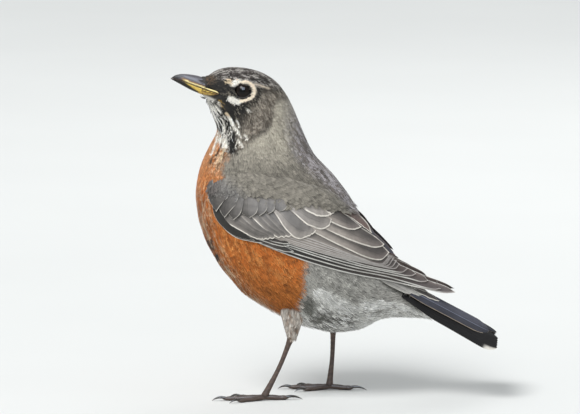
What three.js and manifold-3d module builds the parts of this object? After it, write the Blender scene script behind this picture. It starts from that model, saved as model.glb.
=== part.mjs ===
// A life-size American robin, standing and looking ahead with its neck raised.
// Millimetres, +Z up. The bird faces -Y and its left side is +X. Its feet stand at z = 0.
import * as THREE from "three";
import { mergeVertices } from "three/addons/utils/BufferGeometryUtils.js";
import Module from "manifold-3d";

const wasm = await Module();
wasm.setup();

// ---------------------------------------------------------------- driving dimensions
const GAP = 0.3; // clearance between neighbouring pieces
const CUT = 0.4; // width of the thin cuts that part the body
const EYE = { y: -47.8, z: 160.7, radius: 5, out: 7.8 }; // out: centre's distance from the mid-plane
const BILL = { tip: -85.5, gape: -60, height: 166.4, halfWidth: 3.9 };
// The tail's feathers on one side run from the topmost, top, to the outermost. Each lies
// further out and lower than the last, is shorter and narrower, and rolls and splays more.
const TAIL = {
  tip: [85.5, 34.2],
  slope: -28,
  length: 56,
  thickness: 1,
  vanes: 6,
  top: { out: 7.4, down: 2.6, half: 7.6, roll: 18 },
  each: { out: 0.9, down: 0.95, half: 0.2, roll: 6, splay: 0.8, shorter: 0.9 },
};
const WING = { wrist: [-66, 108], slope: -22.4 }; // the folded wing's bend, and its axis's slope
const LEG = { apart: 16, ankleHeight: 33, footHeight: 2.2 };
const STEPS = [
  { side: 1, ankle: -22.6, foot: -37 }, // the left leg is put forward
  { side: -1, ankle: -1, foot: -3 },
];
const TOES = [
  { toe: "middle", turn: -3, length: 21.5, girth: 1.3, claw: 5.8 },
  { toe: "inner", turn: 24, length: 15, girth: 1.2, claw: 5.2 },
  { toe: "outer", turn: -28, length: 15.5, girth: 1.2, claw: 5 },
  { toe: "hallux", turn: 172, length: 12.5, girth: 1.35, claw: 7.5 },
];

// The body's rings from the bill to the tail. back and belly are the ring's ends in the
// mid-plane, half its half width, low how much wider it is below, and square its fullness.
const RINGS = [
  { at: "face", back: [-66.5, 167], belly: [-67.5, 156.5], half: 4.6, low: 0, square: 2 },
  { at: "lores", back: [-63, 170], belly: [-66, 153], half: 7.2, low: 0.02, square: 2 },
  { at: "forehead", back: [-58, 171.9], belly: [-64.3, 148.5], half: 9.8, low: 0.05, square: 2.05 },
  { at: "brow", back: [-51.7, 172.3], belly: [-62.7, 144.4], half: 12, low: 0.08, square: 2.1 },
  { at: "eye", back: [-44.5, 171.4], belly: [-61.5, 140.7], half: 13.2, low: 0.1, square: 2.1 },
  { at: "ear", back: [-37.2, 169], belly: [-62, 137.4], half: 13.9, low: 0.1, square: 2.1 },
  { at: "nape", back: [-30.4, 164.4], belly: [-64.1, 133.5], half: 14.5, low: 0.08, square: 2.1 },
  { at: "neck", back: [-24.7, 156.5], belly: [-67, 128], half: 15.8, low: 0.06, square: 2.1 },
  { at: "collar", back: [-20, 146], belly: [-69.8, 121.5], half: 18.8, low: 0.06, square: 2.15 },
  { at: "withers", back: [-15.9, 136], belly: [-71.8, 113.5], half: 22.8, low: 0.08, square: 2.2 },
  { at: "shoulder", back: [-10.7, 126], belly: [-72.6, 104], half: 27, low: 0.1, square: 2.25 },
  { at: "breast", back: [-1.6, 116.6], belly: [-71.2, 93], half: 30.6, low: 0.1, square: 2.25 },
  { at: "keel", back: [6, 107], belly: [-67.5, 81.5], half: 32.8, low: 0.08, square: 2.2 },
  { at: "girth", back: [12, 96.8], belly: [-60.2, 68.3], half: 33.2, low: 0.06, square: 2.15 },
  { at: "flank", back: [16, 86], belly: [-48.8, 55], half: 32, low: 0.04, square: 2.1 },
  { at: "belly", back: [19.5, 77], belly: [-33, 45], half: 29, low: 0.02, square: 2.05 },
  { at: "hips", back: [23.5, 69.5], belly: [-17, 37.5], half: 25, low: 0, square: 2 },
  { at: "rump", back: [28.5, 63.8], belly: [-2, 34], half: 20.5, low: 0, square: 2 },
  { at: "vent", back: [34, 61], belly: [12, 35.4], half: 17, low: 0, square: 2 },
  { at: "undertail", back: [40, 58.6], belly: [23, 41.5], half: 14.5, low: 0, square: 2 },
  { at: "coverts", back: [46, 56], belly: [33.5, 42.3], half: 12.8, low: 0, square: 2 },
  { at: "end", back: [52, 52.6], belly: [44, 41.5], half: 11, low: 0, square: 2 },
];
const FINE_UNTIL = 10; // the head and neck have a ring between each two of these as well
const RING_SIDES = 26;

// The folded wing's sections across its own axis, from the bend to the tip. lower and upper
// are its edges; the outside is half an ellipse, widest at level and closing at ridge.
const SECTIONS = [
  { along: -3.5, lower: -1, upper: 6.5, level: 3, ridge: 18, width: 16 },
  { along: 2, lower: -5, upper: 12, level: 1.5, ridge: 29.6, width: 22.6 },
  { along: 9, lower: -9.2, upper: 17, level: 0, ridge: 32.5, width: 28 },
  { along: 18, lower: -11.8, upper: 21, level: -1, ridge: 34.6, width: 32.2 },
  { along: 30, lower: -12.4, upper: 24, level: -2, ridge: 34.3, width: 35.2 },
  { along: 44, lower: -11, upper: 25.6, level: -3, ridge: 34.8, width: 36.6 },
  { along: 57, lower: -9.7, upper: 26.2, level: -4, ridge: 30.4, width: 36 },
  { along: 70, lower: -8.5, upper: 22.6, level: -5, ridge: 24, width: 33.2 },
  { along: 82, lower: -7.2, upper: 17, level: -5.5, ridge: 17.9, width: 28.6 },
  { along: 94, lower: -5, upper: 11.6, level: -5.5, ridge: 12.2, width: 22.4 },
  { along: 106, lower: -3.6, upper: 6, level: -5, ridge: 6.6, width: 16 },
  { along: 118, lower: -2.8, upper: 3, level: -4, ridge: 3.6, width: 11.2 },
  { along: 128, lower: -1.8, upper: 1.9, level: -3, ridge: 3, width: 8 },
  { along: 136.5, lower: -0.3, upper: 0.5, level: -2, ridge: 3, width: 5.8 },
];
const ROUNDNESS = 2.1; // the power of that ellipse
const EDGE = 0.42; // how far round the ellipse, in half turns, the points of a section crowd
// Each group of wing feathers: layer is how far it stands over the lowest one, and most and
// least are its depth at the bend and at the tip.
const GROUPS = {
  coverts: { layer: 1.2, most: 16, least: 4 },
  tertials: { layer: 0.8, most: 12, least: 2.4 },
  secondaries: { layer: 0.4, most: 12, least: 2.2 },
  primaries: { layer: 0, most: 12, least: 1.8 },
};
const THIN_BY = 90; // along the wing, where the depths would run out
// Lines along and across the wing that part the groups, each drawn on past the wing's edges:
// where the coverts end, the lower edge of the tertials, and the upper edge of the primaries.
const COVERT_TIPS = [[5, -20], [9, -9.4], [30, -9], [49, -1.6], [58, 5.6], [63.5, 12], [66, 40]];
const TERTIAL_EDGE = [[40, 6.4], [58, 5.6], [86, 1.2], [102, 1.6], [105, 5], [106, 40]];
const PRIMARY_EDGE = [[0, -8.6], [30, -8.6], [70, -5.2], [108, -2], [111, 40]];

// ---------------------------------------------------------------- materials
const finish = (color, roughness = 0.8, metalness = 0) =>
  new THREE.MeshStandardMaterial({ color, roughness, metalness });
const MATERIALS = {
  head: finish(0x4a4643),
  neck: finish(0x77716a),
  trunk: finish(0xb85f2c),
  rump: finish(0x8f8b84),
  coverts: finish(0x7a756e),
  flight: finish(0x4f4947),
  tail: finish(0x2b2a2d),
  thigh: finish(0x9a8a7c),
  shank: finish(0x2c1d16, 0.55),
  claw: finish(0x15110e, 0.4),
  billUpper: finish(0x5d564c, 0.4),
  billLower: finish(0xc39a3d, 0.4),
  eye: finish(0x0b0706, 0.08),
};

// ---------------------------------------------------------------- solids
const radians = THREE.MathUtils.degToRad;

function solidOf(geometry) {
  geometry.deleteAttribute("normal");
  geometry.deleteAttribute("uv");
  const merged = mergeVertices(geometry, 1e-4);
  const mesh = new wasm.Mesh({
    numProp: 3,
    vertProperties: new Float32Array(merged.attributes.position.array),
    triVerts: new Uint32Array(merged.index.array),
  });
  return new wasm.Manifold(mesh);
}

function largest(solid) {
  return solid.decompose().sort((a, b) => b.volume() - a.volume())[0];
}

function meshOf(name, solid, material) {
  const { vertProperties, triVerts } = solid.getMesh();
  const geometry = new THREE.BufferGeometry();
  geometry.setAttribute("position", new THREE.BufferAttribute(new Float32Array(vertProperties), 3));
  geometry.setIndex(new THREE.BufferAttribute(new Uint32Array(triVerts), 1));
  geometry.computeVertexNormals();
  const mesh = new THREE.Mesh(geometry, material);
  mesh.name = name;
  return mesh;
}

// The same piece on the other side of the mid-plane.
function mirrored(name, mesh) {
  const geometry = mesh.geometry.clone().scale(-1, 1, 1);
  geometry.setIndex(Array.from(geometry.index.array).reverse());
  const other = new THREE.Mesh(geometry, mesh.material);
  other.name = name;
  return other;
}

// A closed surface through rings of the same number of points, which turn anticlockwise
// as seen from the last ring. Each end is closed by a fan round its middle.
function loft(rings) {
  const sides = rings[0].length;
  const points = rings.flat();
  const faces = [];
  for (let r = 0; r + 1 < rings.length; r++)
    for (let k = 0; k < sides; k++) {
      const next = (k + 1) % sides;
      const [a, b] = [r * sides + k, r * sides + next];
      faces.push(a, b, b + sides, a, b + sides, a + sides);
    }
  for (const [ring, first, flip] of [
    [rings[0], 0, true],
    [rings.at(-1), (rings.length - 1) * sides, false],
  ]) {
    const middle = ring.reduce((sum, p) => sum.add(p), new THREE.Vector3()).divideScalar(sides);
    const centre = points.push(middle) - 1;
    for (let k = 0; k < sides; k++) {
      const [a, b] = [first + k, first + ((k + 1) % sides)];
      faces.push(...(flip ? [b, a, centre] : [a, b, centre]));
    }
  }
  const geometry = new THREE.BufferGeometry().setFromPoints(points);
  geometry.setIndex(faces);
  return solidOf(geometry);
}

// The value of every number in a list of records at a place between them, along a smooth curve.
function between(records, place) {
  const last = records.length - 1;
  const i = Math.min(Math.floor(place), last - 1);
  const t = place - i;
  const pick = (k) => records[Math.min(Math.max(k, 0), last)];
  const curve = (p0, p1, p2, p3) =>
    p1 +
    0.5 * t * (p2 - p0 + t * (2 * p0 - 5 * p1 + 4 * p2 - p3 + t * (3 * (p1 - p2) + p3 - p0)));
  const mix = (values) =>
    Array.isArray(values[0])
      ? values[0].map((_, k) => mix(values.map((v) => v[k])))
      : curve(...values);
  const found = {};
  for (const key of Object.keys(records[0]))
    if (typeof records[0][key] !== "string")
      found[key] = mix([pick(i - 1), pick(i), pick(i + 1), pick(i + 2)].map((r) => r[key]));
  return found;
}

// ---------------------------------------------------------------- body
function bodyRing(place, grow) {
  const { back, belly, half, low, square } = between(RINGS, place);
  const up = new THREE.Vector2(back[0] - belly[0], back[1] - belly[1]);
  const middle = [(back[0] + belly[0]) / 2, (back[1] + belly[1]) / 2];
  const tall = up.length() / 2 + grow;
  up.normalize();
  return Array.from({ length: RING_SIDES }, (_, k) => {
    const angle = (2 * Math.PI * k) / RING_SIDES;
    const full = (v) => Math.sign(v) * Math.abs(v) ** (2 / square);
    const rise = full(Math.cos(angle));
    const out = full(Math.sin(angle)) * (half + grow) * (1 - low * rise);
    return new THREE.Vector3(out, middle[0] + up.x * rise * tall, middle[1] + up.y * rise * tall);
  });
}

function body(grow = 0) {
  const rings = [];
  for (let place = 0; place < RINGS.length; place += place < FINE_UNTIL ? 0.5 : 1)
    rings.push(bodyRing(place, grow));
  return loft(rings);
}

// The plane of a body ring: its unit normal towards the tail, and its distance from the origin.
function planeAt(name) {
  const { back, belly } = RINGS.find((r) => r.at === name);
  const normal = new THREE.Vector3(0, back[1] - belly[1], belly[0] - back[0]).normalize();
  return { normal, offset: normal.y * back[0] + normal.z * back[1] };
}

function cutBetween(solid, first, last) {
  let kept = solid;
  if (first) {
    const { normal, offset } = planeAt(first);
    kept = kept.trimByPlane(normal.toArray(), offset + CUT / 2);
  }
  if (last) {
    const { normal, offset } = planeAt(last);
    kept = kept.trimByPlane(normal.clone().negate().toArray(), -(offset - CUT / 2));
  }
  return kept;
}

// ---------------------------------------------------------------- eyes and bill
function eyeball(side, grow = 0, sides = 14) {
  const ball = new THREE.SphereGeometry(EYE.radius + grow, sides, sides - 4);
  ball.translate(side * EYE.out, EYE.y, EYE.z);
  return solidOf(ball);
}

// Half a bill: rings from the gape to the tip between its edge line and its ridge line.
function mandible(ridge, edge) {
  const [steps, sides] = [9, 9];
  const rings = [];
  for (let k = 0; k <= steps; k++) {
    const t = Math.sin((Math.PI / 2) * (k / steps)) * 0.985;
    const y = THREE.MathUtils.lerp(BILL.gape, BILL.tip, t);
    const half = BILL.halfWidth * Math.pow(1 - t, 0.72) + 0.12;
    const [top, bottom] = [ridge(t), edge(t)];
    const rise = top - bottom;
    rings.push(
      Array.from({ length: sides + 1 }, (_, j) => {
        const angle = (Math.PI * j) / sides;
        const lift = Math.max(Math.sin(angle), 0) ** 0.85;
        return new THREE.Vector3(half * Math.cos(angle), y, bottom + rise * lift);
      }),
    );
  }
  return rings;
}

const mouthLine = (t) => BILL.height - 8 + 7.6 * t ** 1.12;
const culmen = (t) => BILL.height + 2.6 - 2.3 * (t - 0.62) ** 2 - 2.4 * t ** 9 - 0.5 * (1 - t);
const gonys = (t) => BILL.height - 11.6 + 2.4 * t + 8.6 * t ** 2.4;

function upperBill() {
  return loft(mandible(culmen, (t) => mouthLine(t) + GAP / 2));
}

function lowerBill() {
  return loft(mandible(gonys, (t) => mouthLine(t) - GAP / 2).map((ring) => ring.reverse()));
}

// ---------------------------------------------------------------- wing
const wingTurn = new THREE.Matrix4().makeBasis(
  new THREE.Vector3(0, Math.cos(radians(WING.slope)), Math.sin(radians(WING.slope))),
  new THREE.Vector3(0, -Math.sin(radians(WING.slope)), Math.cos(radians(WING.slope))),
  new THREE.Vector3(1, 0, 0),
);
const wingPlace = new THREE.Matrix4().makeTranslation(0, ...WING.wrist).multiply(wingTurn);

function sectionAt(along) {
  let k = SECTIONS.findIndex((s) => s.along > along);
  k = k < 0 ? SECTIONS.length - 1 : Math.max(k, 1);
  const [a, b] = [SECTIONS[k - 1].along, SECTIONS[k].along];
  return between(SECTIONS, k - 1 + THREE.MathUtils.clamp((along - a) / (b - a), 0, 1));
}

// How far the folded wing's outside stands from the mid-plane.
function wingOut(along, across) {
  const { level, ridge, width } = sectionAt(along);
  const share = Math.min(Math.abs(across - level) / (ridge - level), 1);
  return width * Math.max(1 - share ** ROUNDNESS, 0.002) ** (1 / ROUNDNESS);
}

// A sheet of the wing's own curve for one group of feathers. Its points crowd towards the
// upper edge, where it curves over the back.
function wingSheet({ layer, most, least }) {
  const [columns, rows] = [8, 16];
  const [from, to] = [SECTIONS[0].along, SECTIONS.at(-1).along];
  const rings = [];
  for (let row = 0; row <= rows; row++) {
    const along = from + ((to - from) * row) / rows;
    const { lower, upper } = sectionAt(along);
    const depth = THREE.MathUtils.clamp(most * (1 - along / THIN_BY), least, most);
    const outer = [];
    const inner = [];
    for (let column = 0; column <= columns; column++) {
      const share = Math.sin((EDGE * Math.PI * column) / columns) / Math.sin(EDGE * Math.PI);
      const across = lower + (upper - lower) * share;
      const out = wingOut(along, across) + layer;
      outer.push(new THREE.Vector3(along, across, out));
      inner.push(new THREE.Vector3(along, across, Math.max(out - depth, 0.6)));
    }
    rings.push([...inner, ...outer.reverse()].map((p) => p.applyMatrix4(wingPlace)));
  }
  return loft(rings);
}

// A block through the wing over an outline drawn on its side.
function prism(outline) {
  const shape = new THREE.Shape(outline.map(([along, across]) => new THREE.Vector2(along, across)));
  const block = new THREE.ExtrudeGeometry(shape, { depth: 60, bevelEnabled: false });
  return solidOf(block.applyMatrix4(wingPlace));
}

// What lies on one side of each of the lines, with the line moved by a distance.
const moved = (line, along, across) => line.map(([a, b]) => [a + along, b + across]);
const behindCoverts = (by) => prism([...moved(COVERT_TIPS, by, -by), [150, 40], [150, -20]]);
const tertialArea = (by) => prism([...moved(TERTIAL_EDGE, by, -by), [40, 40]]);
const primaryArea = (by) =>
  prism([...moved(PRIMARY_EDGE, -by, by), [150, 40], [150, -20], [0, -20]]);

function wingGroups(keepOff) {
  const off = keepOff.add(solidOf(new THREE.BoxGeometry(1, 400, 400)));
  const half = GAP / 2;
  const [coverts, tertials, secondaries, primaries] = Object.values(GROUPS).map((group) =>
    wingSheet(group).subtract(off),
  );
  const areas = {
    coverts: coverts.subtract(behindCoverts(-half)),
    tertials: tertials.intersect(behindCoverts(half)).intersect(tertialArea(-half)),
    secondaries: secondaries
      .intersect(behindCoverts(half))
      .subtract(tertialArea(half))
      .subtract(primaryArea(half)),
    primaries: primaries
      .intersect(behindCoverts(half))
      .intersect(primaryArea(-half))
      .subtract(tertialArea(half)),
  };
  return Object.entries(areas).map(([name, solid]) => [name, largest(solid)]);
}

// ---------------------------------------------------------------- tail
// One tail feather: a thin plate with a round end, its length along +Y.
function tailFeather(length, half, thickness) {
  const [root, widest] = [half * 0.55, length * 0.55];
  const shape = new THREE.Shape();
  shape.moveTo(-root, 0);
  shape.lineTo(root, 0);
  shape.lineTo(half, widest);
  shape.lineTo(half, length - half);
  shape.absarc(0, length - half, half, 0, Math.PI, false);
  shape.lineTo(-half, widest);
  shape.closePath();
  return new THREE.ExtrudeGeometry(shape, { depth: thickness, bevelEnabled: false, curveSegments: 3 });
}

function tailHalf(side, keepOff) {
  const { tip, slope, length, thickness, vanes, top, each } = TAIL;
  const plates = Array.from({ length: vanes }, (_, k) => {
    const plate = tailFeather(length - each.shorter * k, top.half - each.half * k, thickness);
    plate.rotateY(radians(top.roll + each.roll * k) * side);
    plate.rotateZ(radians(-each.splay * k) * side);
    plate.translate(side * (top.out + each.out * k), -length, -top.down - each.down * k);
    plate.rotateX(radians(slope));
    plate.translate(0, ...tip);
    return solidOf(plate);
  });
  const middle = solidOf(new THREE.BoxGeometry(GAP, 400, 400));
  const half = plates.reduce((joined, plate) => joined.add(plate));
  return largest(half.subtract(keepOff).subtract(middle));
}

// ---------------------------------------------------------------- legs
// A closed tube of changing radius along a smooth curve through points.
function limb(points, radii, sides, steps) {
  const curve = new THREE.CatmullRomCurve3(points.map((p) => new THREE.Vector3(...p)));
  const across = new THREE.Vector3(1, 0.001, 0);
  const rings = [];
  for (let k = 0; k <= steps; k++) {
    const t = k / steps;
    const radius = between(radii.map((r) => ({ r })), t * (radii.length - 1)).r;
    const middle = curve.getPoint(t);
    const ahead = curve.getTangent(t);
    const up = new THREE.Vector3().crossVectors(ahead, across).normalize();
    const out = new THREE.Vector3().crossVectors(up, ahead).normalize();
    rings.push(
      Array.from({ length: sides }, (_, j) => {
        const angle = (2 * Math.PI * j) / sides;
        return middle
          .clone()
          .addScaledVector(out, radius * Math.cos(angle))
          .addScaledVector(up, radius * Math.sin(angle));
      }),
    );
  }
  const solid = loft(rings);
  return solid.volume() < 0 ? loft(rings.map((ring) => ring.reverse())) : solid;
}

// Everything under one knee. foot is where the toes meet, ankle the joint above it.
function leg({ side, ankle, foot }, keepOff) {
  const label = side > 0 ? "left" : "right";
  const x = side * LEG.apart;
  const parts = [];
  const keep = (name, solid, material) =>
    parts.push([name, largest(solid.trimByPlane([0, 0, 1], 0)), material]);
  // A limb and the same one with the clearance round it.
  const pair = (points, radii, sides, steps) =>
    [0, GAP].map((more) => limb(points, radii.map((r) => r + more), sides, steps));

  const [shank, shankRoom] = pair(
    [[x, ankle, LEG.ankleHeight], [x, foot, LEG.footHeight]],
    [1.95, 1.35, 1.25, 1.25, 1.5, 1.9],
    10,
    8,
  );
  const [thigh] = pair(
    [
      [x * 0.94, ankle + 0.5, LEG.ankleHeight + 22],
      [x, ankle - 0.4, LEG.ankleHeight + 11],
      [x, ankle, LEG.ankleHeight + 1],
    ],
    [7.4, 5.2, 4.2, 2.2],
    14,
    6,
  );
  keep("thigh_" + label, thigh.subtract(keepOff).subtract(shankRoom), MATERIALS.thigh);
  keep("shank_" + label, shank, MATERIALS.shank);

  let taken = shankRoom;
  for (const { toe, turn, length, girth, claw } of TOES) {
    const way = radians(turn * side);
    const at = (far, z) => [x - Math.sin(way) * far, foot - Math.cos(way) * far, z];
    const sole = girth * 0.82;
    const [digit, digitRoom] = pair(
      [at(1.2, sole + 0.5), at(length * 0.35, sole + 0.35), at(length * 0.7, sole), at(length, sole)],
      [1.15, 1, 1.08, 0.9, 1.02, 0.7].map((r) => r * girth),
      7,
      4,
    );
    const [nail, nailRoom] = pair(
      [at(length - 0.4, sole + 0.2), at(length + claw * 0.45, sole + 0.9), at(length + claw, 0.35)],
      [0.62, 0.5, 0.34, 0.16].map((r) => r * girth),
      6,
      3,
    );
    keep(`toe_${label}_${toe}`, digit.subtract(nailRoom).subtract(taken), MATERIALS.shank);
    keep(`claw_${label}_${toe}`, nail, MATERIALS.claw);
    taken = taken.add(digitRoom);
  }
  return parts;
}

// ---------------------------------------------------------------- the bird
const bird = new THREE.Group();
const add = (name, solid, material) => bird.add(meshOf(name, solid, material));

const clear = body(GAP);
const sockets = eyeball(1, 2 * GAP, 10).add(eyeball(-1, 2 * GAP, 10));
const whole = body();
add("head", cutBetween(whole, null, "nape").subtract(sockets), MATERIALS.head);
add("neck", cutBetween(whole, "nape", "withers"), MATERIALS.neck);
add("trunk", cutBetween(whole, "withers", "hips"), MATERIALS.trunk);
add("rump", cutBetween(whole, "hips", null), MATERIALS.rump);
add("eye_left", eyeball(1), MATERIALS.eye);
add("eye_right", eyeball(-1), MATERIALS.eye);
add("bill_upper", upperBill().subtract(clear), MATERIALS.billUpper);
add("bill_lower", lowerBill().subtract(clear), MATERIALS.billLower);

for (const [name, solid] of wingGroups(clear)) {
  const material = name === "coverts" ? MATERIALS.coverts : MATERIALS.flight;
  add("wing_left_" + name, solid, material);
  bird.add(mirrored("wing_right_" + name, bird.children.at(-1)));
}
add("tail_left", tailHalf(1, clear), MATERIALS.tail);
add("tail_right", tailHalf(-1, clear), MATERIALS.tail);
for (const step of STEPS)
  for (const [name, solid, material] of leg(step, clear)) add(name, solid, material);

// The origin is the middle of the box that holds the bird, on the ground under it.
const box = new THREE.Box3().setFromObject(bird);
bird.position.set(0, -(box.min.y + box.max.y) / 2, 0);

export default bird;
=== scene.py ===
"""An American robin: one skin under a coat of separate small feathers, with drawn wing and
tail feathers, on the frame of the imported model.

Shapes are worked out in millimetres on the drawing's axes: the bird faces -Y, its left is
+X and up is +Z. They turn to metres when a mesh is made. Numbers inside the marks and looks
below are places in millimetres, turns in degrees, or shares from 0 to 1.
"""

import bpy
import numpy as np
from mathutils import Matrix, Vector
from mathutils.bvhtree import BVHTree
from mathutils.kdtree import KDTree


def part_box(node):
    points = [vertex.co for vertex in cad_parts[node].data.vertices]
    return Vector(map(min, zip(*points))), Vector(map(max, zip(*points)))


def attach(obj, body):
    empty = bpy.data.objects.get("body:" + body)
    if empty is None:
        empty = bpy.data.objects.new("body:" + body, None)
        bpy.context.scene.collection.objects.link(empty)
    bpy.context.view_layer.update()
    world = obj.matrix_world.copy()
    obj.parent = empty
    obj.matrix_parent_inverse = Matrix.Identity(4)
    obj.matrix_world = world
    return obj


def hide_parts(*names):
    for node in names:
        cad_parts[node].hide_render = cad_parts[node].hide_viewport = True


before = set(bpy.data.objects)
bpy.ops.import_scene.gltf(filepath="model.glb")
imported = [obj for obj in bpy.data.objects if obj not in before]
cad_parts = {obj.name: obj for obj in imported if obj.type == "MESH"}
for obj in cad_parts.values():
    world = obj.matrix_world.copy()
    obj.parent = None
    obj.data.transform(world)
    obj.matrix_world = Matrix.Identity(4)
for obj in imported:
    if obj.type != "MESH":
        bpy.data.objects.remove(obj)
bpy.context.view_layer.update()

MM = 0.001
SIDES = {"left": 1, "right": -1}

# ---------------------------------------------------------------- sizes and places

EYE = np.array([7.8, -47.8, 160.7])  # the left eye's centre on the drawing
EYE_RADIUS = 5.0
EYE_AXIS = np.array([1.0, -0.1, 0.17])  # where the left eye looks
LID = np.array([3.75, 3.45])  # half the eye's opening, lengthwise and upright

# The bill's outline: at each y, the heights of its ridge, mouth and underside, and its half
# width.
BILL_Y = [-85.5, -83.5, -81.0, -78.3, -75.7, -73.1, -70.5, -67.0, -62.0]
RIDGE_Z = [166.5, 167.95, 168.65, 168.8, 168.6, 168.2, 167.6, 166.2, 164.0]
MOUTH_Z = [166.4, 166.3, 165.9, 165.05, 164.05, 163.05, 162.15, 161.2, 159.9]
UNDER_Z = [166.2, 165.1, 163.7, 162.2, 160.8, 159.6, 158.5, 157.0, 155.2]
BILL_HALF = [0.1, 0.75, 1.3, 1.85, 2.3, 2.7, 3.0, 3.4, 4.0]

# Slices through the body from the bill to the tail: the back's y and z, the belly's y and z.
SLICES = [
    [-69.8, 168.4, -69.4, 157.4],  # over the root of the bill
    [-66.5, 167.0, -67.5, 156.5],  # face
    [-63.0, 170.0, -66.0, 153.0],
    [-58.0, 171.9, -64.3, 148.5],  # forehead
    [-51.7, 172.3, -62.7, 144.4],
    [-44.5, 171.4, -61.5, 140.7],  # eye
    [-37.2, 169.0, -62.0, 137.4],
    [-30.4, 164.4, -64.1, 133.5],  # nape
    [-24.7, 156.5, -67.0, 128.0],
    [-20.0, 146.0, -69.8, 121.5],  # collar
    [-15.9, 136.0, -71.8, 113.5],
    [-10.7, 126.0, -72.6, 104.0],  # shoulder
    [-1.6, 116.6, -71.2, 93.0],
    [6.0, 107.0, -67.5, 81.5],  # keel
    [12.0, 96.8, -60.2, 68.3],
    [16.0, 86.0, -48.8, 55.0],  # flank
    [19.5, 77.0, -33.0, 45.0],
    [23.5, 69.5, -17.0, 37.5],  # hips
    [28.5, 63.8, -2.0, 34.0],
    [34.0, 61.0, 12.0, 35.4],  # vent
    [40.0, 58.6, 23.0, 41.5],
    [46.0, 56.0, 33.5, 42.3],
    [52.0, 52.6, 44.0, 41.5],  # end, under the tail's roots
]
ROWS, COLUMNS = 200, 144
STREAK_FINE = np.array([2, 6])  # how much finer than the body's grid its streaks are
SKIN_VOXEL = 0.9  # how fine the remade skin is
SKIN_SMOOTHING = 6
SKIN_SHADE = 0.7  # how dark it is between the feathers
BODY_SMOOTHING, MANTLE_SMOOTHING, WING_SMOOTHING = 3, 5, 30  # how often each is softened
ORBIT = (4.2, 8.5)  # the hollow round an eye: how far out it is full, and where it ends
LID_RISE = 0.45  # how far the face stands over the eyeball at the lids
BARE_RING = 4.1  # how far from the middle of the eye feathers begin
THIGH_GRID = (24, 48)  # rows and columns of each surface's points
EYE_GRID = (48, 64)
BILL_GRID = (90, 64)
GAPE_GRID = (90, 48)
SHANK_GRID = (96, 28)
TOE_GRID = (84, 22)
CLAW_GRID = (40, 16)
LID_COLUMNS = 120
STREAK_SEED, COAT_SEED, FACE_SEED = 17, 41, 77  # where the random draws start
LEFT_WING_SEED, RIGHT_WING_SEED, TAIL_SEED = 100, 300, 500

# The coat from the bill to the tail, at these slices: how deep it lies over the skin, how
# long its feathers are, and how far apart they grow.
COAT_AT = [0, 4, 7, 10, 13, 18, 22]
COAT_DEPTH = [0.5, 1.0, 1.5, 2.2, 2.6, 2.6, 2.0]
COAT_LENGTH = [1.6, 2.2, 3.6, 5.6, 7.0, 7.6, 8.0]
COAT_SPACING = [0.5, 0.6, 0.95, 1.45, 1.7, 1.8, 1.8]
TRIES = 3  # how many places are drawn at random for each feather's root
CLOSEST = 0.8  # how near two roots may be, as a share of their spacing
VARIED = (0.85, 1.15)  # how far feathers' sizes differ from their mean

WRIST = np.array([-66.0, 108.0])  # the folded wing's bend
WING_SLOPE = np.radians(-22.4)

LEG_APART = 16.0
STEPS = {"left": (-22.6, -37.0), "right": (-1.0, -3.0)}  # each ankle's and foot's y
ANKLE_HEIGHT = 33.0
FOOT_HEIGHT = 2.2
TOES = {  # turn inwards from straight ahead in degrees, length, half thickness, claw length
    "middle": (-3, 21.5, 1.3, 5.8),
    "inner": (24, 15.0, 1.2, 5.2),
    "outer": (-28, 15.5, 1.2, 5.0),
    "hallux": (172, 12.5, 1.35, 7.5),
}

TAIL_TIP = np.array([85.5, 34.2])  # its y and z
TAIL_SLOPE = np.radians(-28.0)
TAIL_LENGTH = 56.0


def rgb(red, green, blue):
    """A colour as on a screen, 0 to 255, as the linear values that shaders use."""
    value = np.array([red, green, blue]) / 255
    return np.where(value <= 0.04045, value / 12.92, ((value + 0.055) / 1.055) ** 2.4)


BLACK = rgb(30, 27, 23)
SOOT = rgb(56, 51, 44)
CROWN_DARK = rgb(62, 56, 52)
CROWN_PALE = rgb(160, 155, 149)
CHEEK_PALE = rgb(138, 130, 115)
EAR_DARK = rgb(96, 88, 78)
EAR_PALE = rgb(146, 138, 126)
NAPE = rgb(166, 160, 146)
MANTLE = rgb(128, 123, 113)
SHOULDER = rgb(122, 120, 118)
SCALE_DARK = rgb(112, 105, 100)
SCALE_PALE = rgb(168, 163, 165)
RUMP = rgb(150, 148, 143)
WHITE = rgb(238, 234, 224)
BUFF = rgb(212, 192, 160)
RING_BUFF = rgb(242, 226, 203)
FRINGE = rgb(202, 176, 146)
RUFOUS = rgb(186, 105, 42)
RUFOUS_DEEP = rgb(168, 102, 44)
RUFOUS_PALE = rgb(180, 136, 98)
FLANK_GREY = rgb(158, 156, 150)
BELLY_WHITE = rgb(232, 231, 226)
FLANK_DARK = rgb(92, 92, 84)
THIGH_GREY = rgb(204, 197, 188)
THIGH_BROWN = rgb(138, 118, 102)
RUFOUS_LIGHT = rgb(204, 134, 70)
WING_GREY = rgb(139, 133, 127)
WING_DARK = rgb(98, 90, 86)
WING_BASE = rgb(155, 147, 139)
PRIMARY_TIP = rgb(108, 96, 91)
WING_BLACK = rgb(52, 49, 43)
WING_EDGE = rgb(214, 208, 198)
PRIMARY_EDGE = rgb(206, 204, 198)
SECONDARY_EDGE = rgb(176, 171, 167)
TERTIAL_BROWN = rgb(98, 80, 74)
# The outer tail feathers' own blackish colour, darkened further as painted shade under the middle feathers.
SHADED_TAIL_BLACK = rgb(23, 22, 22)
TAIL_SLATE = rgb(52, 53, 61)
# Painted highlight: the bluish reflection along the top tail feather's shaft.
TAIL_SHAFT_HIGHLIGHT = rgb(118, 124, 142)
TAIL_BROWN = rgb(150, 138, 122)
LEG_BROWN = rgb(74, 57, 48)
LEG_PALE = rgb(126, 104, 88)
LID_GREY = rgb(44, 39, 34)
CLAW_BLACK = rgb(48, 42, 37)
BILL_SLATE = rgb(98, 95, 101)
BILL_BLACK = rgb(34, 32, 28)
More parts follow.
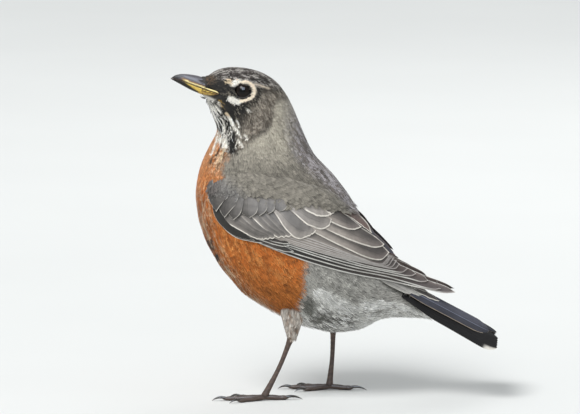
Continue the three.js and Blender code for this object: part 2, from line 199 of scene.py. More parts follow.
BILL_GOLD = rgb(226, 196, 96)
BILL_BROWN = rgb(132, 92, 42)
GAPE_CREAM = rgb(232, 216, 156)
GAPE_BROWN = rgb(74, 50, 28)
GAPE_OLIVE = rgb(158, 128, 66)
FOREHEAD_BROWN = rgb(100, 80, 62)

# Marks seen from the side, as y and z: the upper and rear part of the eye's ring, and the
# crescent below it.
EYE_RING = [
    (-49.6, 165.4), (-47.3, 165.9), (-45.2, 165.4), (-43.4, 164.0), (-42.6, 162.2),
    (-42.6, 160.2), (-43.6, 158.6), (-45.7, 157.4), (-47.8, 156.9), (-49.3, 156.5),
]
EYE_CRESCENT = [(-55.0, 157.6), (-53.6, 157.2), (-52.1, 156.5), (-50.8, 155.9)]
# A few dark spots low on the front of the breast.
BREAST_SPOTS = [(-66.8, 84.1), (-64.6, 85.0), (-64.2, 81.4), (-65.9, 81), (-62.4, 77), (-61.9, 75.1)]
# Where the feathers begin round the bill: their first y at each height.
BILL_EDGE_HEIGHT = [154.0, 156.0, 157.0, 158.2, 159.6, 160.6, 161.8, 163.8, 165.8, 167.5, 169.5]
BILL_EDGE_Y = [-68.5, -66.5, -61.4, -60.0, -59.2, -60.2, -63.4, -67.2, -68.2, -67.6, -66.8]


# ---------------------------------------------------------------- small tools


def unit(vectors):
    """The vectors, each made one long."""
    return vectors / np.maximum(np.linalg.norm(vectors, axis=-1, keepdims=True), 1e-9)


def ease(low, high, value):
    """0 below low, 1 above high, and a smooth step between them."""
    part = np.clip((value - low) / (high - low), 0, 1)
    return part * part * (3 - 2 * part)


def through(knots, places):
    """A smooth curve through the knots, read at places counted in knots."""
    knots = np.asarray(knots, float)
    first = 2 * knots[:1] - knots[1:2]
    last = 2 * knots[-1:] - knots[-2:-1]
    padded = np.concatenate([first, knots, last])
    index = np.clip(np.floor(places).astype(int), 0, len(knots) - 2)
    part = (places - index)[:, None]
    before, start, end, after = (padded[index + k] for k in range(4))
    bend = 2 * before - 5 * start + 4 * end - after
    twist = 3 * start - before - 3 * end + after
    return 0.5 * (2 * start + (end - before) * part + bend * part**2 + twist * part**3)


def circle(count):
    """Even turns once round, in radians."""
    return np.linspace(0, 2 * np.pi, count, endpoint=False)


def softened(field, times, wrap):
    """A field over rows and columns with its small bumps taken out."""
    for _ in range(times):
        row = np.concatenate([field[:1], field, field[-1:]])
        field = (row[:-2] + 2 * row[1:-1] + row[2:]) / 4
        if wrap:
            column = np.concatenate([field[:, -1:], field, field[:, :1]], 1)
        else:
            column = np.concatenate([field[:, :1], field, field[:, -1:]], 1)
        field = (column[:, :-2] + 2 * column[:, 1:-1] + column[:, 2:]) / 4
    return field


def filled(field):
    """A field with its gaps filled along the rows, from what lies either side of them."""
    rows = np.arange(len(field))
    for column in field.T:
        known = ~np.isnan(column)
        column[~known] = np.interp(rows[~known], rows[known], column[known]) if known.any() else 0
    return field


low, high = (np.array(corner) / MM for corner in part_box("eye_left"))
ORIGIN = np.array([0, *((low + high) / 2 - EYE)[1:]])  # the drawing's origin in the frame


def tree_of(*names):
    """The named CAD nodes as one surface to cast rays at."""
    points = []
    faces = []
    for name in names:
        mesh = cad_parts[name].data
        start = len(points)
        points += [Vector(np.array(v.co) / MM - ORIGIN) for v in mesh.vertices]
        faces += [[start + i for i in p.vertices] for p in mesh.polygons]
    return BVHTree.FromPolygons(points, faces)


def mesh_of(name, points, faces, colours=None, bake=None, vane=None, normals=None):
    """A mesh from arrays. faces are triangles or quads; bake and vane are UV places of points."""
    mesh = bpy.data.meshes.new(name)
    corners = faces.ravel().astype(np.int32)
    mesh.vertices.add(len(points))
    mesh.vertices.foreach_set("co", ((points + ORIGIN) * MM).astype(np.float32).ravel())
    mesh.loops.add(len(corners))
    mesh.loops.foreach_set("vertex_index", corners)
    mesh.polygons.add(len(faces))
    starts = np.arange(0, len(corners), faces.shape[1], dtype=np.int32)
    mesh.polygons.foreach_set("loop_start", starts)
    mesh.polygons.foreach_set("use_smooth", np.ones(len(faces), dtype=bool))
    for title, places in (("OFBake", bake), ("vane", vane)):
        if places is not None:
            layer = mesh.uv_layers.new(name=title)
            layer.uv.foreach_set("vector", places[corners].astype(np.float32).ravel())
    if colours is not None:
        paint(mesh, colours)
    mesh.update()
    mesh.validate()
    if normals is not None:
        mesh.normals_split_custom_set_from_vertices(normals.astype(np.float32))
    return mesh


class Batch:
    """Parts gathered into one piece."""

    def __init__(self):
        self.parts = []

    def add(self, points, faces, *values):
        """values belong to the points: their colours, OFBake places, vane places and normals."""
        values = [value.reshape(-1, value.shape[-1]) for value in (points, *values)]
        self.parts.append((faces.reshape(-1, faces.shape[-1]), *values))

    def mesh(self, name):
        starts = np.cumsum([0] + [len(part[1]) for part in self.parts])
        faces = np.concatenate([part[0] + start for part, start in zip(self.parts, starts)])
        points, *values = (np.concatenate(column) for column in list(zip(*self.parts))[1:])
        return mesh_of(name, points, faces, *values)

    def piece(self, name, material, slot, *nodes):
        piece_of(name, self.mesh(name), material, slot, *nodes)


def paint(mesh, colours):
    """Stores a colour at each of a mesh's points."""
    attribute = mesh.color_attributes.new("plumage", "FLOAT_COLOR", "POINT")
    full = np.ones((len(colours), 4), np.float32)
    full[:, :3] = np.clip(colours, 0, 1)
    attribute.data.foreach_set("color", full.ravel())


def placed(name, data):
    """A new object in the scene."""
    made = bpy.data.objects.new(name, data)
    bpy.context.scene.collection.objects.link(made)
    return made


def piece_of(name, mesh, material, slot, *nodes):
    """Puts a mesh in the scene as a piece that rides on the model and replaces CAD nodes."""
    piece = placed(name, mesh)
    mesh.materials.append(material)
    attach(piece, "root")
    if nodes:
        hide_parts(*nodes)


def grid_faces(rows, columns, wrap=False):
    """Quads between neighbouring points of a grid, which may close round its columns."""
    across = columns if wrap else columns - 1
    row, column = np.meshgrid(np.arange(rows - 1), np.arange(across), indexing="ij")
    here = row * columns + column
    beside = row * columns + (column + 1) % columns
    quads = np.stack([here, beside, beside + columns, here + columns], -1)
    return quads.reshape(-1, 4)


def halves(quads):
    """Quads cut into triangles."""
    return np.concatenate([quads[:, [0, 1, 2]], quads[:, [0, 2, 3]]])


def outward(faces, side):
    """Faces that point outwards on the given side, when made for the left."""
    return faces if SIDES[side] > 0 else faces[:, ::-1]


def tube(middle, radii, grid, carve=None):
    """Rows of points round a bent line, none of them below the floor. carve(part, ring) swells
    or cuts it a little; part runs from 0 to 1 along it and ring is the way each point faces."""
    part = np.linspace(0, 1, grid[0])
    centre = through(middle, part * (len(middle) - 1))
    radius = through(np.array(radii)[:, None], part * (len(radii) - 1))
    ahead = unit(np.gradient(centre, axis=0))
    up = unit(np.cross(ahead, [1, 0.001, 0]))
    out = np.cross(up, ahead)
    turn = circle(grid[1])[:, None]
    ring = out[:, None] * np.cos(turn) + up[:, None] * np.sin(turn)
    if carve:
        radius = radius + carve(part[:, None], ring)
    points = centre[:, None] + ring * radius[..., None]
    points[..., 2] = np.maximum(points[..., 2], 0.0)
    return points


# ---------------------------------------------------------------- materials


class Shader:
    """A procedural material, put together one named step at a time."""

    def __init__(self, name, **sockets):
        self.material = bpy.data.materials.new(name)
        self.material.use_nodes = True
        self.nodes = self.material.node_tree.nodes
        self.links = self.material.node_tree.links
        self.surface = self.nodes["Principled BSDF"]
        for socket, value in sockets.items():
            self.surface.inputs[socket.replace("_", " ")].default_value = value

    def node(self, kind, inputs, **settings):
        made = self.nodes.new(kind)
        for key, value in settings.items():
            setattr(made, key, value)
        for socket, value in inputs.items():
            if isinstance(value, bpy.types.NodeSocket):
                self.links.new(value, made.inputs[socket])
            else:
                made.inputs[socket].default_value = value
        return made

    def noise(self, place, scale):
        inputs = {"Vector": place, "Scale": scale, "Detail": 3.0, "Roughness": 0.55}
        return self.node("ShaderNodeTexNoise", inputs).outputs["Fac"]

    def spread(self, value, low, high):
        """Noise, most of which lies between 0.3 and 0.7, made to run from low to high."""
        inputs = {"Value": value, "From Min": 0.3, "From Max": 0.7, "To Min": low, "To Max": high}
        return self.node("ShaderNodeMapRange", inputs).outputs["Result"]

    def times(self, colour, factor):
        inputs = {0: colour, "Scale": factor}
        made = self.node("ShaderNodeVectorMath", inputs, operation="SCALE")
        return made.outputs["Vector"]

    def product(self, first, second):
        return self.node("ShaderNodeMath", {0: first, 1: second}, operation="MULTIPLY").outputs[0]

    def colour(self, socket):
        self.links.new(socket, self.surface.inputs["Base Color"])

    def bump(self, height, strength, distance):
        inputs = {"Height": height, "Strength": strength, "Distance": distance}
        made = self.node("ShaderNodeBump", inputs)
        self.links.new(made.outputs["Normal"], self.surface.inputs["Normal"])

    def roughness(self, value, low, high):
        self.links.new(self.spread(value, low, high), self.surface.inputs["Roughness"])


def feather_shader(name, barbs, contrast, roughness, sheen=0.1, specular=0.25):
    """Feathers: their painted colour, streaked along the barbs, with fine barbs as bump."""
    gloss = {"Sheen_Weight": sheen, "Sheen_Roughness": 0.5, "Specular_IOR_Level": specular}
    made = Shader(name, Roughness=roughness, **gloss)
    painted = made.node("ShaderNodeAttribute", {}, attribute_name="plumage").outputs["Color"]
    vane = made.node("ShaderNodeUVMap", {}, uv_map="vane").outputs["UV"]
    place = made.node("ShaderNodeTexCoord", {}).outputs["Object"]
    along = made.node("ShaderNodeMapping", {"Vector": vane, "Scale": barbs}).outputs["Vector"]
    streaks = made.noise(along, 1.0)
    patches = made.noise(place, 420.0)
    shade = made.product(
        made.spread(streaks, 1 - contrast, 1 + contrast), made.spread(patches, 0.94, 1.06)
    )
    made.colour(made.times(painted, shade))
    made.bump(streaks, 0.35, 0.0002)
    return made.material


def skin_shader(name, scale, low, high, roughness, bump=0.3, specular=0.4, coat=0.0):
    """Painted colour with fine grain, for skin, bill and scales."""
    made = Shader(name, Specular_IOR_Level=specular, Coat_Weight=coat, Coat_Roughness=0.15)
    painted = made.node("ShaderNodeAttribute", {}, attribute_name="plumage").outputs["Color"]
    place = made.node("ShaderNodeTexCoord", {}).outputs["Object"]
    grain = made.noise(place, scale)
    made.colour(made.times(painted, made.spread(grain, low, high)))
    made.roughness(grain, roughness - 0.08, roughness + 0.08)
    made.bump(grain, bump, 0.0001)
    return made.material


SOFT_FEATHER = feather_shader("soft_feather", (3.0, 5.0, 1.0), 0.16, 0.85)
HEAD_FEATHER = feather_shader("head_feather", (2.0, 2.0, 1.0), 0.14, 0.75)
WING_FEATHER = feather_shader("wing_feather", (4.0, 16.0, 1.0), 0.12, 0.62, 0.05, 0.35)
TAIL_FEATHER = feather_shader("tail_feather", (4.0, 16.0, 1.0), 0.14, 0.75, 0.0, 0.14)
SKIN = skin_shader("skin", 900.0, 0.85, 1.1, 0.75)
BILL = skin_shader("bill", 1400.0, 0.86, 1.12, 0.4, 0.12, 0.25)
LEG = skin_shader("leg", 1600.0, 0.75, 1.2, 0.5, 0.4, 0.45, 0.1)
EYE_GLOSS = skin_shader("eye_gloss", 500.0, 0.95, 1.05, 0.06, 0.0, 0.2)
HORN = skin_shader("horn", 1200.0, 0.8, 1.15, 0.3, 0.15, 0.5, 0.2)

# ---------------------------------------------------------------- the body's surface


class Chart:
    """A surface as rows of points: rows run towards the tail, columns run round it."""

    def __init__(self, points, wrap=True):
        self.points = points
        self.rows, self.columns = points.shape[:2]
        self.wrap = wrap
        self.along = np.gradient(points, axis=0)
        if wrap:
            self.around = (np.roll(points, -1, 1) - np.roll(points, 1, 1)) / 2
        else:
            self.around = np.gradient(points, axis=1)
        self.normal = unit(np.cross(self.around, self.along))

    def at(self, field, row, column):
        """Reads a field between its grid points."""
        row = np.clip(row, 0, field.shape[0] - 1.001)
        if not self.wrap:
            column = np.clip(column, 0, field.shape[1] - 1.001)
        up = np.floor(row).astype(int)
        left = np.floor(column).astype(int)
        columns = field.shape[1]
        row_part = (row - up)[..., None]
        column_part = (column - left)[..., None]
        left = left % columns
        right = (left + 1) % columns
        top = field[up, left] * (1 - column_part) + field[up, right] * column_part
        bottom = field[up + 1, left] * (1 - column_part) + field[up + 1, right] * column_part
        return top * (1 - row_part) + bottom * row_part

    def moved(self, depth):
        """The same surface, deeper by depth."""
        return Chart(self.points - self.normal * depth[..., None], self.wrap)


def even_slices(count):
    """The body's slices at even steps, and each one's place counted in SLICES."""
    fine = np.linspace(0, len(SLICES) - 1, 2000)
    ends = through(SLICES, fine)
    step = np.diff(ends, axis=0)
    length = np.hypot(step[:, 0], step[:, 1]) + np.hypot(step[:, 2], step[:, 3])
    gone = np.concatenate([[0], np.cumsum(length)])
    places = np.interp(np.linspace(0, gone[-1], count), gone, fine)
    return through(SLICES, places), places


def streaked(rng, wide, long):
    """A field of 0 to 1, even in its spread, in streaks that run along the body."""
    noise = rng.normal(size=np.array([ROWS, COLUMNS]) * STREAK_FINE)
    for axis, steps in ((0, long), (1, wide)):
        reach = np.arange(-int(3 * steps), int(3 * steps) + 1)
        weights = np.exp(-0.5 * (reach / steps) ** 2)
        noise = sum(np.roll(noise, step, axis) * part for step, part in zip(reach, weights))
    order = np.argsort(np.argsort(noise.ravel()))
    return (order / order.size).reshape(noise.shape)


def shell(tree, ends, smooth):
    """The surface of a tree, met by rays from outside it in the plane of each slice."""
    zero = np.zeros(len(ends))
    back = np.stack([zero, ends[:, 0], ends[:, 1]], -1)
    belly = np.stack([zero, ends[:, 2], ends[:, 3]], -1)
    centre = (back + belly) / 2
    up = unit(back - belly)
    reach = np.linalg.norm(back - belly, axis=1) * 0.62 + 6  # past the body's widest
    turn = circle(COLUMNS)
    side = np.array([1.0, 0, 0])
    rays = up[:, None] * np.cos(turn)[:, None] + side * np.sin(turn)[:, None]
    radius = np.full((len(ends), COLUMNS), np.nan)
    for row in range(len(ends)):
        for column in range(COLUMNS):
            ray = rays[row, column]
            start = Vector(centre[row] + ray * reach[row])
            distance = tree.ray_cast(start, Vector(-ray), reach[row])[3]
            if distance is not None:
                radius[row, column] = reach[row] - distance
    radius = softened(filled(radius), smooth, True)
    return centre[:, None] + rays * radius[..., None]


def with_orbits(points):
    """Lets the surface dip to the lids round each eye."""
    for sign in SIDES.values():
        centre = EYE * [sign, 1, 1]
        axis = unit(EYE_AXIS * [sign, 1, 1])
        offset = points - centre
        height = offset @ axis
        distance = np.linalg.norm(offset - height[..., None] * axis, axis=-1)
        lids = np.sqrt(EYE_RADIUS**2 - LID.mean() ** 2) + LID_RISE
        near = (1 - ease(*ORBIT, distance)) * (height > 0)
        points = points + ((lids - height) * near)[..., None] * axis
    return points


FLESH = ["head", "neck", "trunk", "rump"]
WINGS = [
    f"wing_{side}_{group}"
    for side in SIDES
    for group in ("coverts", "tertials", "secondaries", "primaries")
]
ends, slice_places = even_slices(ROWS)
body = Chart(with_orbits(shell(tree_of(*FLESH, "bill_upper", "bill_lower"), ends, BODY_SMOOTHING)))
mantle = Chart(shell(tree_of(*FLESH, *WINGS), ends, MANTLE_SMOOTHING))
coat_depth = np.interp(slice_places, COAT_AT, COAT_DEPTH)
coat_length = np.interp(slice_places, COAT_AT, COAT_LENGTH)
coat_spacing = np.interp(slice_places, COAT_AT, COAT_SPACING)
streak_rng = np.random.default_rng(STREAK_SEED)
on_head = np.repeat(1 - ease(6, 9, slice_places), STREAK_FINE[0])[:, None]
turned = circle(COLUMNS * STREAK_FINE[1])
on_throat = ease(-0.2, 0.5, -np.cos(turned))[None]
streaks = []
for _ in range(2):
    crown = streaked(streak_rng, 2.2, 1.2)
    throat = streaked(streak_rng, 3.0, 5)
    trunk = streaked(streak_rng, 1.3, 3.5)
    top = crown * (1 - on_throat) + throat * on_throat
    streaks.append(top * on_head + trunk * (1 - on_head))
skin_chart = body.moved(np.repeat(coat_depth[:, None], COLUMNS, 1))


def wing_place(points):
    """Places along and across the folded wing's axis."""
    y = points[..., 1] - WRIST[0]
    z = points[..., 2] - WRIST[1]
    cos, sin = np.cos(WING_SLOPE), np.sin(WING_SLOPE)
    return y * cos + z * sin, z * cos - y * sin


def from_wing(along, across):
    """The y and z of places on the wing's axis."""
    cos, sin = np.cos(WING_SLOPE), np.sin(WING_SLOPE)
    y = WRIST[0] + along * cos - across * sin
    z = WRIST[1] + along * sin + across * cos
    return y, z


def wing_edge(along):
    """The across of the folded wing's lower edge."""
    return np.interp(along, [-4, 2, 18, 44, 82, 118, 138], [1, -5, -11.8, -11, -7.2, -2.8, 0])


def scapular_edge(along):
    """The across where the scapular feathers end and the wing's own begin."""
    return np.interp(
        along,
        [-4, 0, 4, 8, 14, 19, 24, 28, 34, 38, 45, 50, 57, 64, 69, 75, 84],
        [2.6, 3.2, 4.0, 5.6, 8.6, 10.6, 10.2, 11.0, 12.2, 13.0, 16.6, 18.6, 20, 21.2, 20.6, 23, 26],
    )


# ---------------------------------------------------------------- markings


def blob(points, y, z, half_y, half_z, soft=0.4, turn=0.0):
    """1 inside an ellipse seen from the side, falling softly to 0 outside it."""
    cos, sin = np.cos(np.radians(turn)), np.sin(np.radians(turn))
    dy, dz = points[..., 1] - y, points[..., 2] - z
    reach = np.hypot((dy * cos + dz * sin) / half_y, (dz * cos - dy * sin) / half_z)
    return 1 - ease(1 - soft, 1 + soft, reach)


def stroke(points, line, width, soft):
    """1 along a bent line seen from the side, width across, with soft edges."""
    place = points[..., 1:]
    best = np.full(place.shape[:-1], 1e9)
    width = np.asarray(width)
    for start, end in zip(np.array(line[:-1]), np.array(line[1:])):
        step = end - start
        part = np.clip(((place - start) @ step) / (step @ step), 0, 1)
        best = np.minimum(best, np.linalg.norm(place - start - part[..., None] * step, axis=-1))
    return 1 - ease(width / 2 - soft, width / 2 + soft, best)


def ripple(points, size):
    """A smooth uneven field of about -1 to 1, with features about size long."""
    x, y, z = (points[..., k] / size for k in range(3))
    first = np.sin(2.1 * x + 1.3 * y + 0.7) * np.sin(1.7 * z - 0.9 * x + 2.0)
    second = np.sin(3.9 * y - 2.3 * z + 1.1) * np.sin(3.1 * x + 2.9 * z + 0.3)
    return first * 0.65 + second * 0.35


def over(colour, mask, paint_on):
    """A colour with another laid over it as far as the mask says."""
    return colour * (1 - mask[..., None]) + paint_on * mask[..., None]


class Marks:
    """Colours at points, painted one mark over another, seen from the side."""

    def __init__(self, points, colour, chance=None):
        self.points = points
        self.colour = np.broadcast_to(colour, points.shape)
        self.chance = chance

    def either(self, share, first, second):
        """One of two colours for each feather; share of them take the first."""
        return np.where((self.chance < share)[..., None], first, second)

    def put(self, mask, colour):
        self.colour = over(self.colour, mask, colour)

    def spot(self, colour, *ellipse, share=1):
        self.put(blob(self.points, *ellipse) * share, colour)

    def line(self, colour, knots, width, soft, share=1):
        self.put(stroke(self.points, knots, width, soft) * share, colour)


def head_marks(marks):
    """The streaked crown, dark cheeks, striped throat and white marks of the head."""
    points, chance, either = marks.points, marks.chance, marks.either
    x, y, z = np.abs(points[..., 0]), points[..., 1], points[..., 2]
    uneven = ripple(points, 4.0)
    fine = ripple(points, 1.3)
    rear = np.interp(
        z,
        [128, 130.6, 132, 134.4, 138, 140.5, 144.4, 151, 157, 163, 171],
        [-57, -53.8, -49.7, -47.1, -43.4, -38.4, -34.5, -33, -31, -28.5, -26],
    )
    rear = rear + 4.5 * (1 - ease(4, 8, x)) * ease(150, 160, z)
    blend = 2.5 + 4.5 * (1 - ease(4, 9, x)) * ease(150, 160, z)
    hood = 1 - ease(-blend, blend, y - rear + 0.9 * uneven)
    collar = np.interp(y, [-68, -62, -57, -54, -50, -44], [144, 138, 132, 129.6, 129, 126])
    hood = hood * ease(-0.8, 0.8, z - collar + 0.6 * fine)
    faint = 0.38 * ease(-40, -29, y) * ease(5, 9, x)
    marks.put(hood * (1 - faint), either(0.58, CROWN_DARK, CROWN_PALE))
    side = hood * (1 - ease(162, 166, z + 0.12 * (y + 45)))
    marks.put(side, either(0.8, SOOT * 0.8, CHEEK_PALE))
    ear = ease(-50, -39, y - 0.6 * (z - 150) + 1.5 * uneven) * (1 - ease(158, 163, z))
    marks.put(ear * side, either(0.5, EAR_DARK, EAR_PALE))
    marks.line(SOOT, [(-47, 137.5), (-42, 139.6), (-37.5, 142), (-35.5, 147)], 2.4, 1.2, 0.5)

    # Black from the bill through the eye and below it, brownish on the forehead.
    lores = [(-68, 163.6), (-61, 163), (-54, 161), (-46, 161)]
    marks.line(either(0.8, BLACK, SOOT), lores, 6.8, 1.0)
    marks.spot(either(0.88, BLACK, CHEEK_PALE), -53.5, 155, 8.5, 6.0, 0.35)
    marks.spot(either(0.55, SOOT, FOREHEAD_BROWN), -66.0, 165.8, 4.2, 2.2, 0.4, 20)
    marks.spot(either(0.5, BLACK, BUFF), -56.0, 166.1, 2.2, 1.2, 0.5, 20)
    trail = [(-42.4, 164.8), (-40.3, 164.4), (-38.2, 163.6), (-35, 162.4)]
    marks.line(RING_BUFF, trail, 0.7, 0.4, 0.6)
    marks.line(BLACK, [(-44, 167), (-39, 166.8), (-35, 165)], 1.2, 0.5, 0.8)
    marks.line(BLACK, [(-40.6, 162.4), (-40, 159), (-42, 156)], 1.4, 0.5, 0.9)
    below_bill = [(-61.5, 157.8), (-59.8, 155.4), (-58.4, 152.8), (-57, 150)]
    marks.line(either(0.6, SOOT * 0.8, GAPE_OLIVE * 0.9), below_bill, 2.2, 1.0)

    # The throat is white, with black streaks down it that gather into a band behind.
    front = y - 0.26 * (157 - z) + 67.5
    jaw = np.interp(y, [-69, -66.3, -63.7, -61.6, -58.5], [159.0, 158.0, 157.1, 156.3, 155.0])
    throat = (1 - ease(6.2, 7.6, front + 0.5 * fine)) * (1 - ease(-0.9, 0.3, z - jaw))
    throat = throat * ease(-1.2, 1.2, z - 134.3 + 1.05 * (y + 57) + 6 * (chance - 0.5))
    white_share = 0.41 + 0.34 * ease(149, 153, z) + 0.2 * (1 - ease(136, 139, z))
    marks.put(throat, either(white_share, WHITE, BLACK))
    band = [(-62.7, 155.1), (-59, 151.8), (-56.9, 147.7), (-55.4, 144.1), (-53.8, 139.1), (-53, 131.5)]
    wide = np.interp(z, [131, 139, 146, 155], [4.0, 4.2, 2.6, 1.2])
    marks.line(either(0.76, BLACK, WHITE), band, wide, 1.2)
    bib = [(-62.3, 139.6), (-59.5, 136.6), (-57, 133.6)]
    marks.line(either(0.66, WHITE * 0.9, RUFOUS_PALE * 0.9), bib, 3.4, 0.8)
    for start, end, colour in (
        ((-61.0, 136.5), (-63.8, 129.0), WHITE),
        ((-58.6, 134.4), (-61.4, 128.6), SOOT),
        ((-63.4, 127.4), (-64.6, 124.6), SOOT),
        ((-57.2, 133.0), (-59.2, 126.5), BUFF),
    ):
        marks.line(colour, [start, end], 0.8, 0.4)

    # White marks: the malar stripe, the patch over the lores and the broken ring of the eye.
    malar = [(-56.7, 149.8), (-54.9, 147.3), (-52.3, 143.3), (-50.5, 140.6)]
    pale = over(np.broadcast_to(WHITE, points.shape), ease(147.5, 149.5, z), BUFF)
    marks.line(pale, malar, 1.6, 0.4, np.where(chance < 0.8, 1, 0.2))
    for start, end in (
        ((-51.2, 146.6), (-49.7, 143.7)),
        ((-49.6, 139.6), (-48.9, 138.4)),
        ((-47.2, 139.6), (-45.9, 137.7)),
        ((-50.2, 137.2), (-48.4, 134.4)),
        ((-46.2, 152.3), (-44.8, 151.4)),
    ):
        marks.line(WHITE, [start, end], 0.8, 0.35)
    marks.spot(either(0.8, WHITE, BUFF), -52.0, 165.4, 3.3, 1.5, 0.25, 22)
    marks.line(RING_BUFF, EYE_RING, 1.6, 0.3)
    marks.line(WHITE, EYE_CRESCENT, 2.5, 0.4)


# The white band low on the flank, from behind the leg to the tail's root.
VENT_BAND = [(-2, 52.5), (6, 50.3), (14, 50.8), (21, 52.0), (31, 49.2), (43, 45.2)]


def plumage(points, chance, on_wing=False):
    """The bird's colours at points of its side. chance, 0 to 1, differs between feathers."""
    x, y, z = np.abs(points[..., 0]), points[..., 1], points[..., 2]
    uneven = ripple(points, 5.0)
    fine = ripple(points, 1.6)

    # The back: paler on the nape, scaly along its middle, grey on the rump.
    marks = Marks(points, MANTLE, chance)
    either = marks.either
    marks.put(ease(118, 138, z) * ease(-60, -40, y), NAPE)
    scaly = (1 - ease(13, 20, x)) * ease(-30, -18, y) * (1 - ease(30, 45, y))
    marks.put(scaly, either(0.5, SCALE_DARK, SCALE_PALE))
    marks.put(ease(14, 32, y) * ease(52, 60, z + 0.3 * y), RUMP)
    if on_wing:
        along, across = wing_place(points)
        blue = (1 - ease(14, 30, along)) * (1 - ease(9, 18, across + 0.25 * along))
        marks.put(blue * 0.8, SHOULDER)
        marks.put((1 - ease(0.5, 5.0, along + uneven)) * 0.6, WING_DARK)
        return marks.colour

    # The grey flank behind the orange, ruffled white and dark below it and white to the tail, with painted
    # shade in the hollow by the thighs.
    rear = np.interp(
        z,
        [38, 44, 50, 60, 80, 100, 117, 122.4, 129, 134],
        [-34, -27, -21.5, -18.5, -16, -30, -56, -58.5, -55.4, -52],
    )
    behind = ease(-2.0, 2.0, y - rear + uneven * 1.5 + fine)
    low = 1 - ease(84, 92, z + 0.42 * y)
    marks.put(behind * low, either(0.45, FLANK_GREY * 0.9, FLANK_GREY * 1.14))
    ruffle = behind * (1 - ease(48, 54, z + 0.25 * y + 1.5 * uneven))
    marks.put(ruffle, either(0.46, FLANK_GREY * 0.5, BELLY_WHITE))
    # Painted shade: two dark patches in the hollow between the thighs and the belly feathers.
    dark = blob(points, -15.5, 51.5, 3.6, 5.5, 0.5) + blob(points, -10.5, 44.8, 4.0, 1.8, 0.5, 20)
    marks.put(behind * np.minimum(dark, 1) * 0.85, FLANK_DARK)
    marks.spot(BELLY_WHITE, -8.3, 58.2, 5.2, 3.4, 0.45, -20)
    marks.spot(BELLY_WHITE, -1, 53, 9, 3.8, 0.5, -22, share=0.95)
    under = behind * (1 - ease(52.5, 55.5, z + 0.25 * (y - 15) + fine)) * ease(6, 15, y)
    marks.put(under, either(0.75, BELLY_WHITE, FLANK_GREY))
    marks.put(behind * stroke(points, VENT_BAND, 2.5, 0.7) * 0.85, BELLY_WHITE)

    # The orange breast, paler at the top and fringed in front; the fringes and the lower breast are darkened
    # as painted shade.
    front = (1 - ease(-2.0, 2.0, y - rear + uneven * 1.2 + fine)) * (1 - ease(138, 141, z))
    breast = Marks(points, either(0.72, RUFOUS, RUFOUS_LIGHT))
    # Painted shade: darker low on the breast, away from the light from above.
    breast.put(1 - ease(48, 76, z), either(0.75, RUFOUS_DEEP, RUFOUS))
    breast.put(ease(106, 130, z) * 0.6, RUFOUS_PALE)
    breast.put(ease(0.3, 0.9, -uneven) * 0.2, RUFOUS_DEEP)
    strands = either(0.3, RUFOUS, either(0.72, FRINGE, SOOT))
    breast.spot(strands, -59, 128.5, 4.5, 9.5, 0.6, -15, share=0.8)
    breast.spot(either(0.5, MANTLE, RUFOUS_DEEP), -55.5, 122, 4, 7, 0.5, share=0.55)
    edge = np.interp(z, [42, 50, 62, 76, 92, 108, 122], [-30, -42, -55, -65, -71.5, -72, -69])
    # Real pale and rufous fringes on the breast's front edge, darkened (0.58 and 0.82) as painted shade.
    shaded_fringes = (1 - ease(3, 12, y - edge + 2 * fine)) * ease(44, 52, z) * (1 - ease(104, 120, z))
    shaded_fringes = shaded_fringes * (0.45 + 0.55 * ease(3, 9, x))
    breast.put(shaded_fringes * 0.9, either(0.62, RUFOUS * 0.58, FRINGE * 0.82))
    for y_at, z_at in BREAST_SPOTS:
        breast.spot(SOOT * 0.5, y_at, z_at, 0.85, 1.75, 0.3, -20, share=ease(5, 8, x))
    marks.put(front, breast.colour)
    middle = (1 - ease(4, 15, x + uneven * 2)) * (1 - ease(44, 56, z)) * ease(-52, -40, y)
    marks.put(middle * (1 - behind), BELLY_WHITE)
    head_marks(marks)
    return marks.colour


# ---------------------------------------------------------------- the skin


def thigh_points(side, grow):
    """A thigh and the top of its shank, as rows of points from the hip down."""
    sign = SIDES[side]
    ankle = STEPS[side][0]
    part = np.linspace(0, 1, THIGH_GRID[0])
    top = np.array([sign * LEG_APART * 0.94, ankle + 0.5, 57.0])
    bottom = np.array([sign * LEG_APART, ankle, 33.5])
    centre = top + (bottom - top) * part[:, None]
    radius = 8.2 - 5.7 * part**1.3 + grow
    turn = circle(THIGH_GRID[1])
    ring = np.stack([-np.sin(turn), -np.cos(turn), 0 * turn], -1)
    return centre[:, None] + ring * radius[:, None, None]


def capped(points):
    """A tube of points closed at its ends, as points and triangles."""
    rows, columns = points.shape[:2]
    flat = points.reshape(-1, 3)
    around = np.arange(columns)
    beside = (around + 1) % columns
    start = np.full(columns, len(flat))
    first = np.stack([start, beside, around], -1)
    last = np.stack([start + 1, around + (rows - 1) * columns, beside + (rows - 1) * columns], -1)
    faces = np.concatenate([halves(grid_faces(rows, columns, True)), first, last])
    return np.concatenate([flat, [points[0].mean(0), points[-1].mean(0)]]), faces


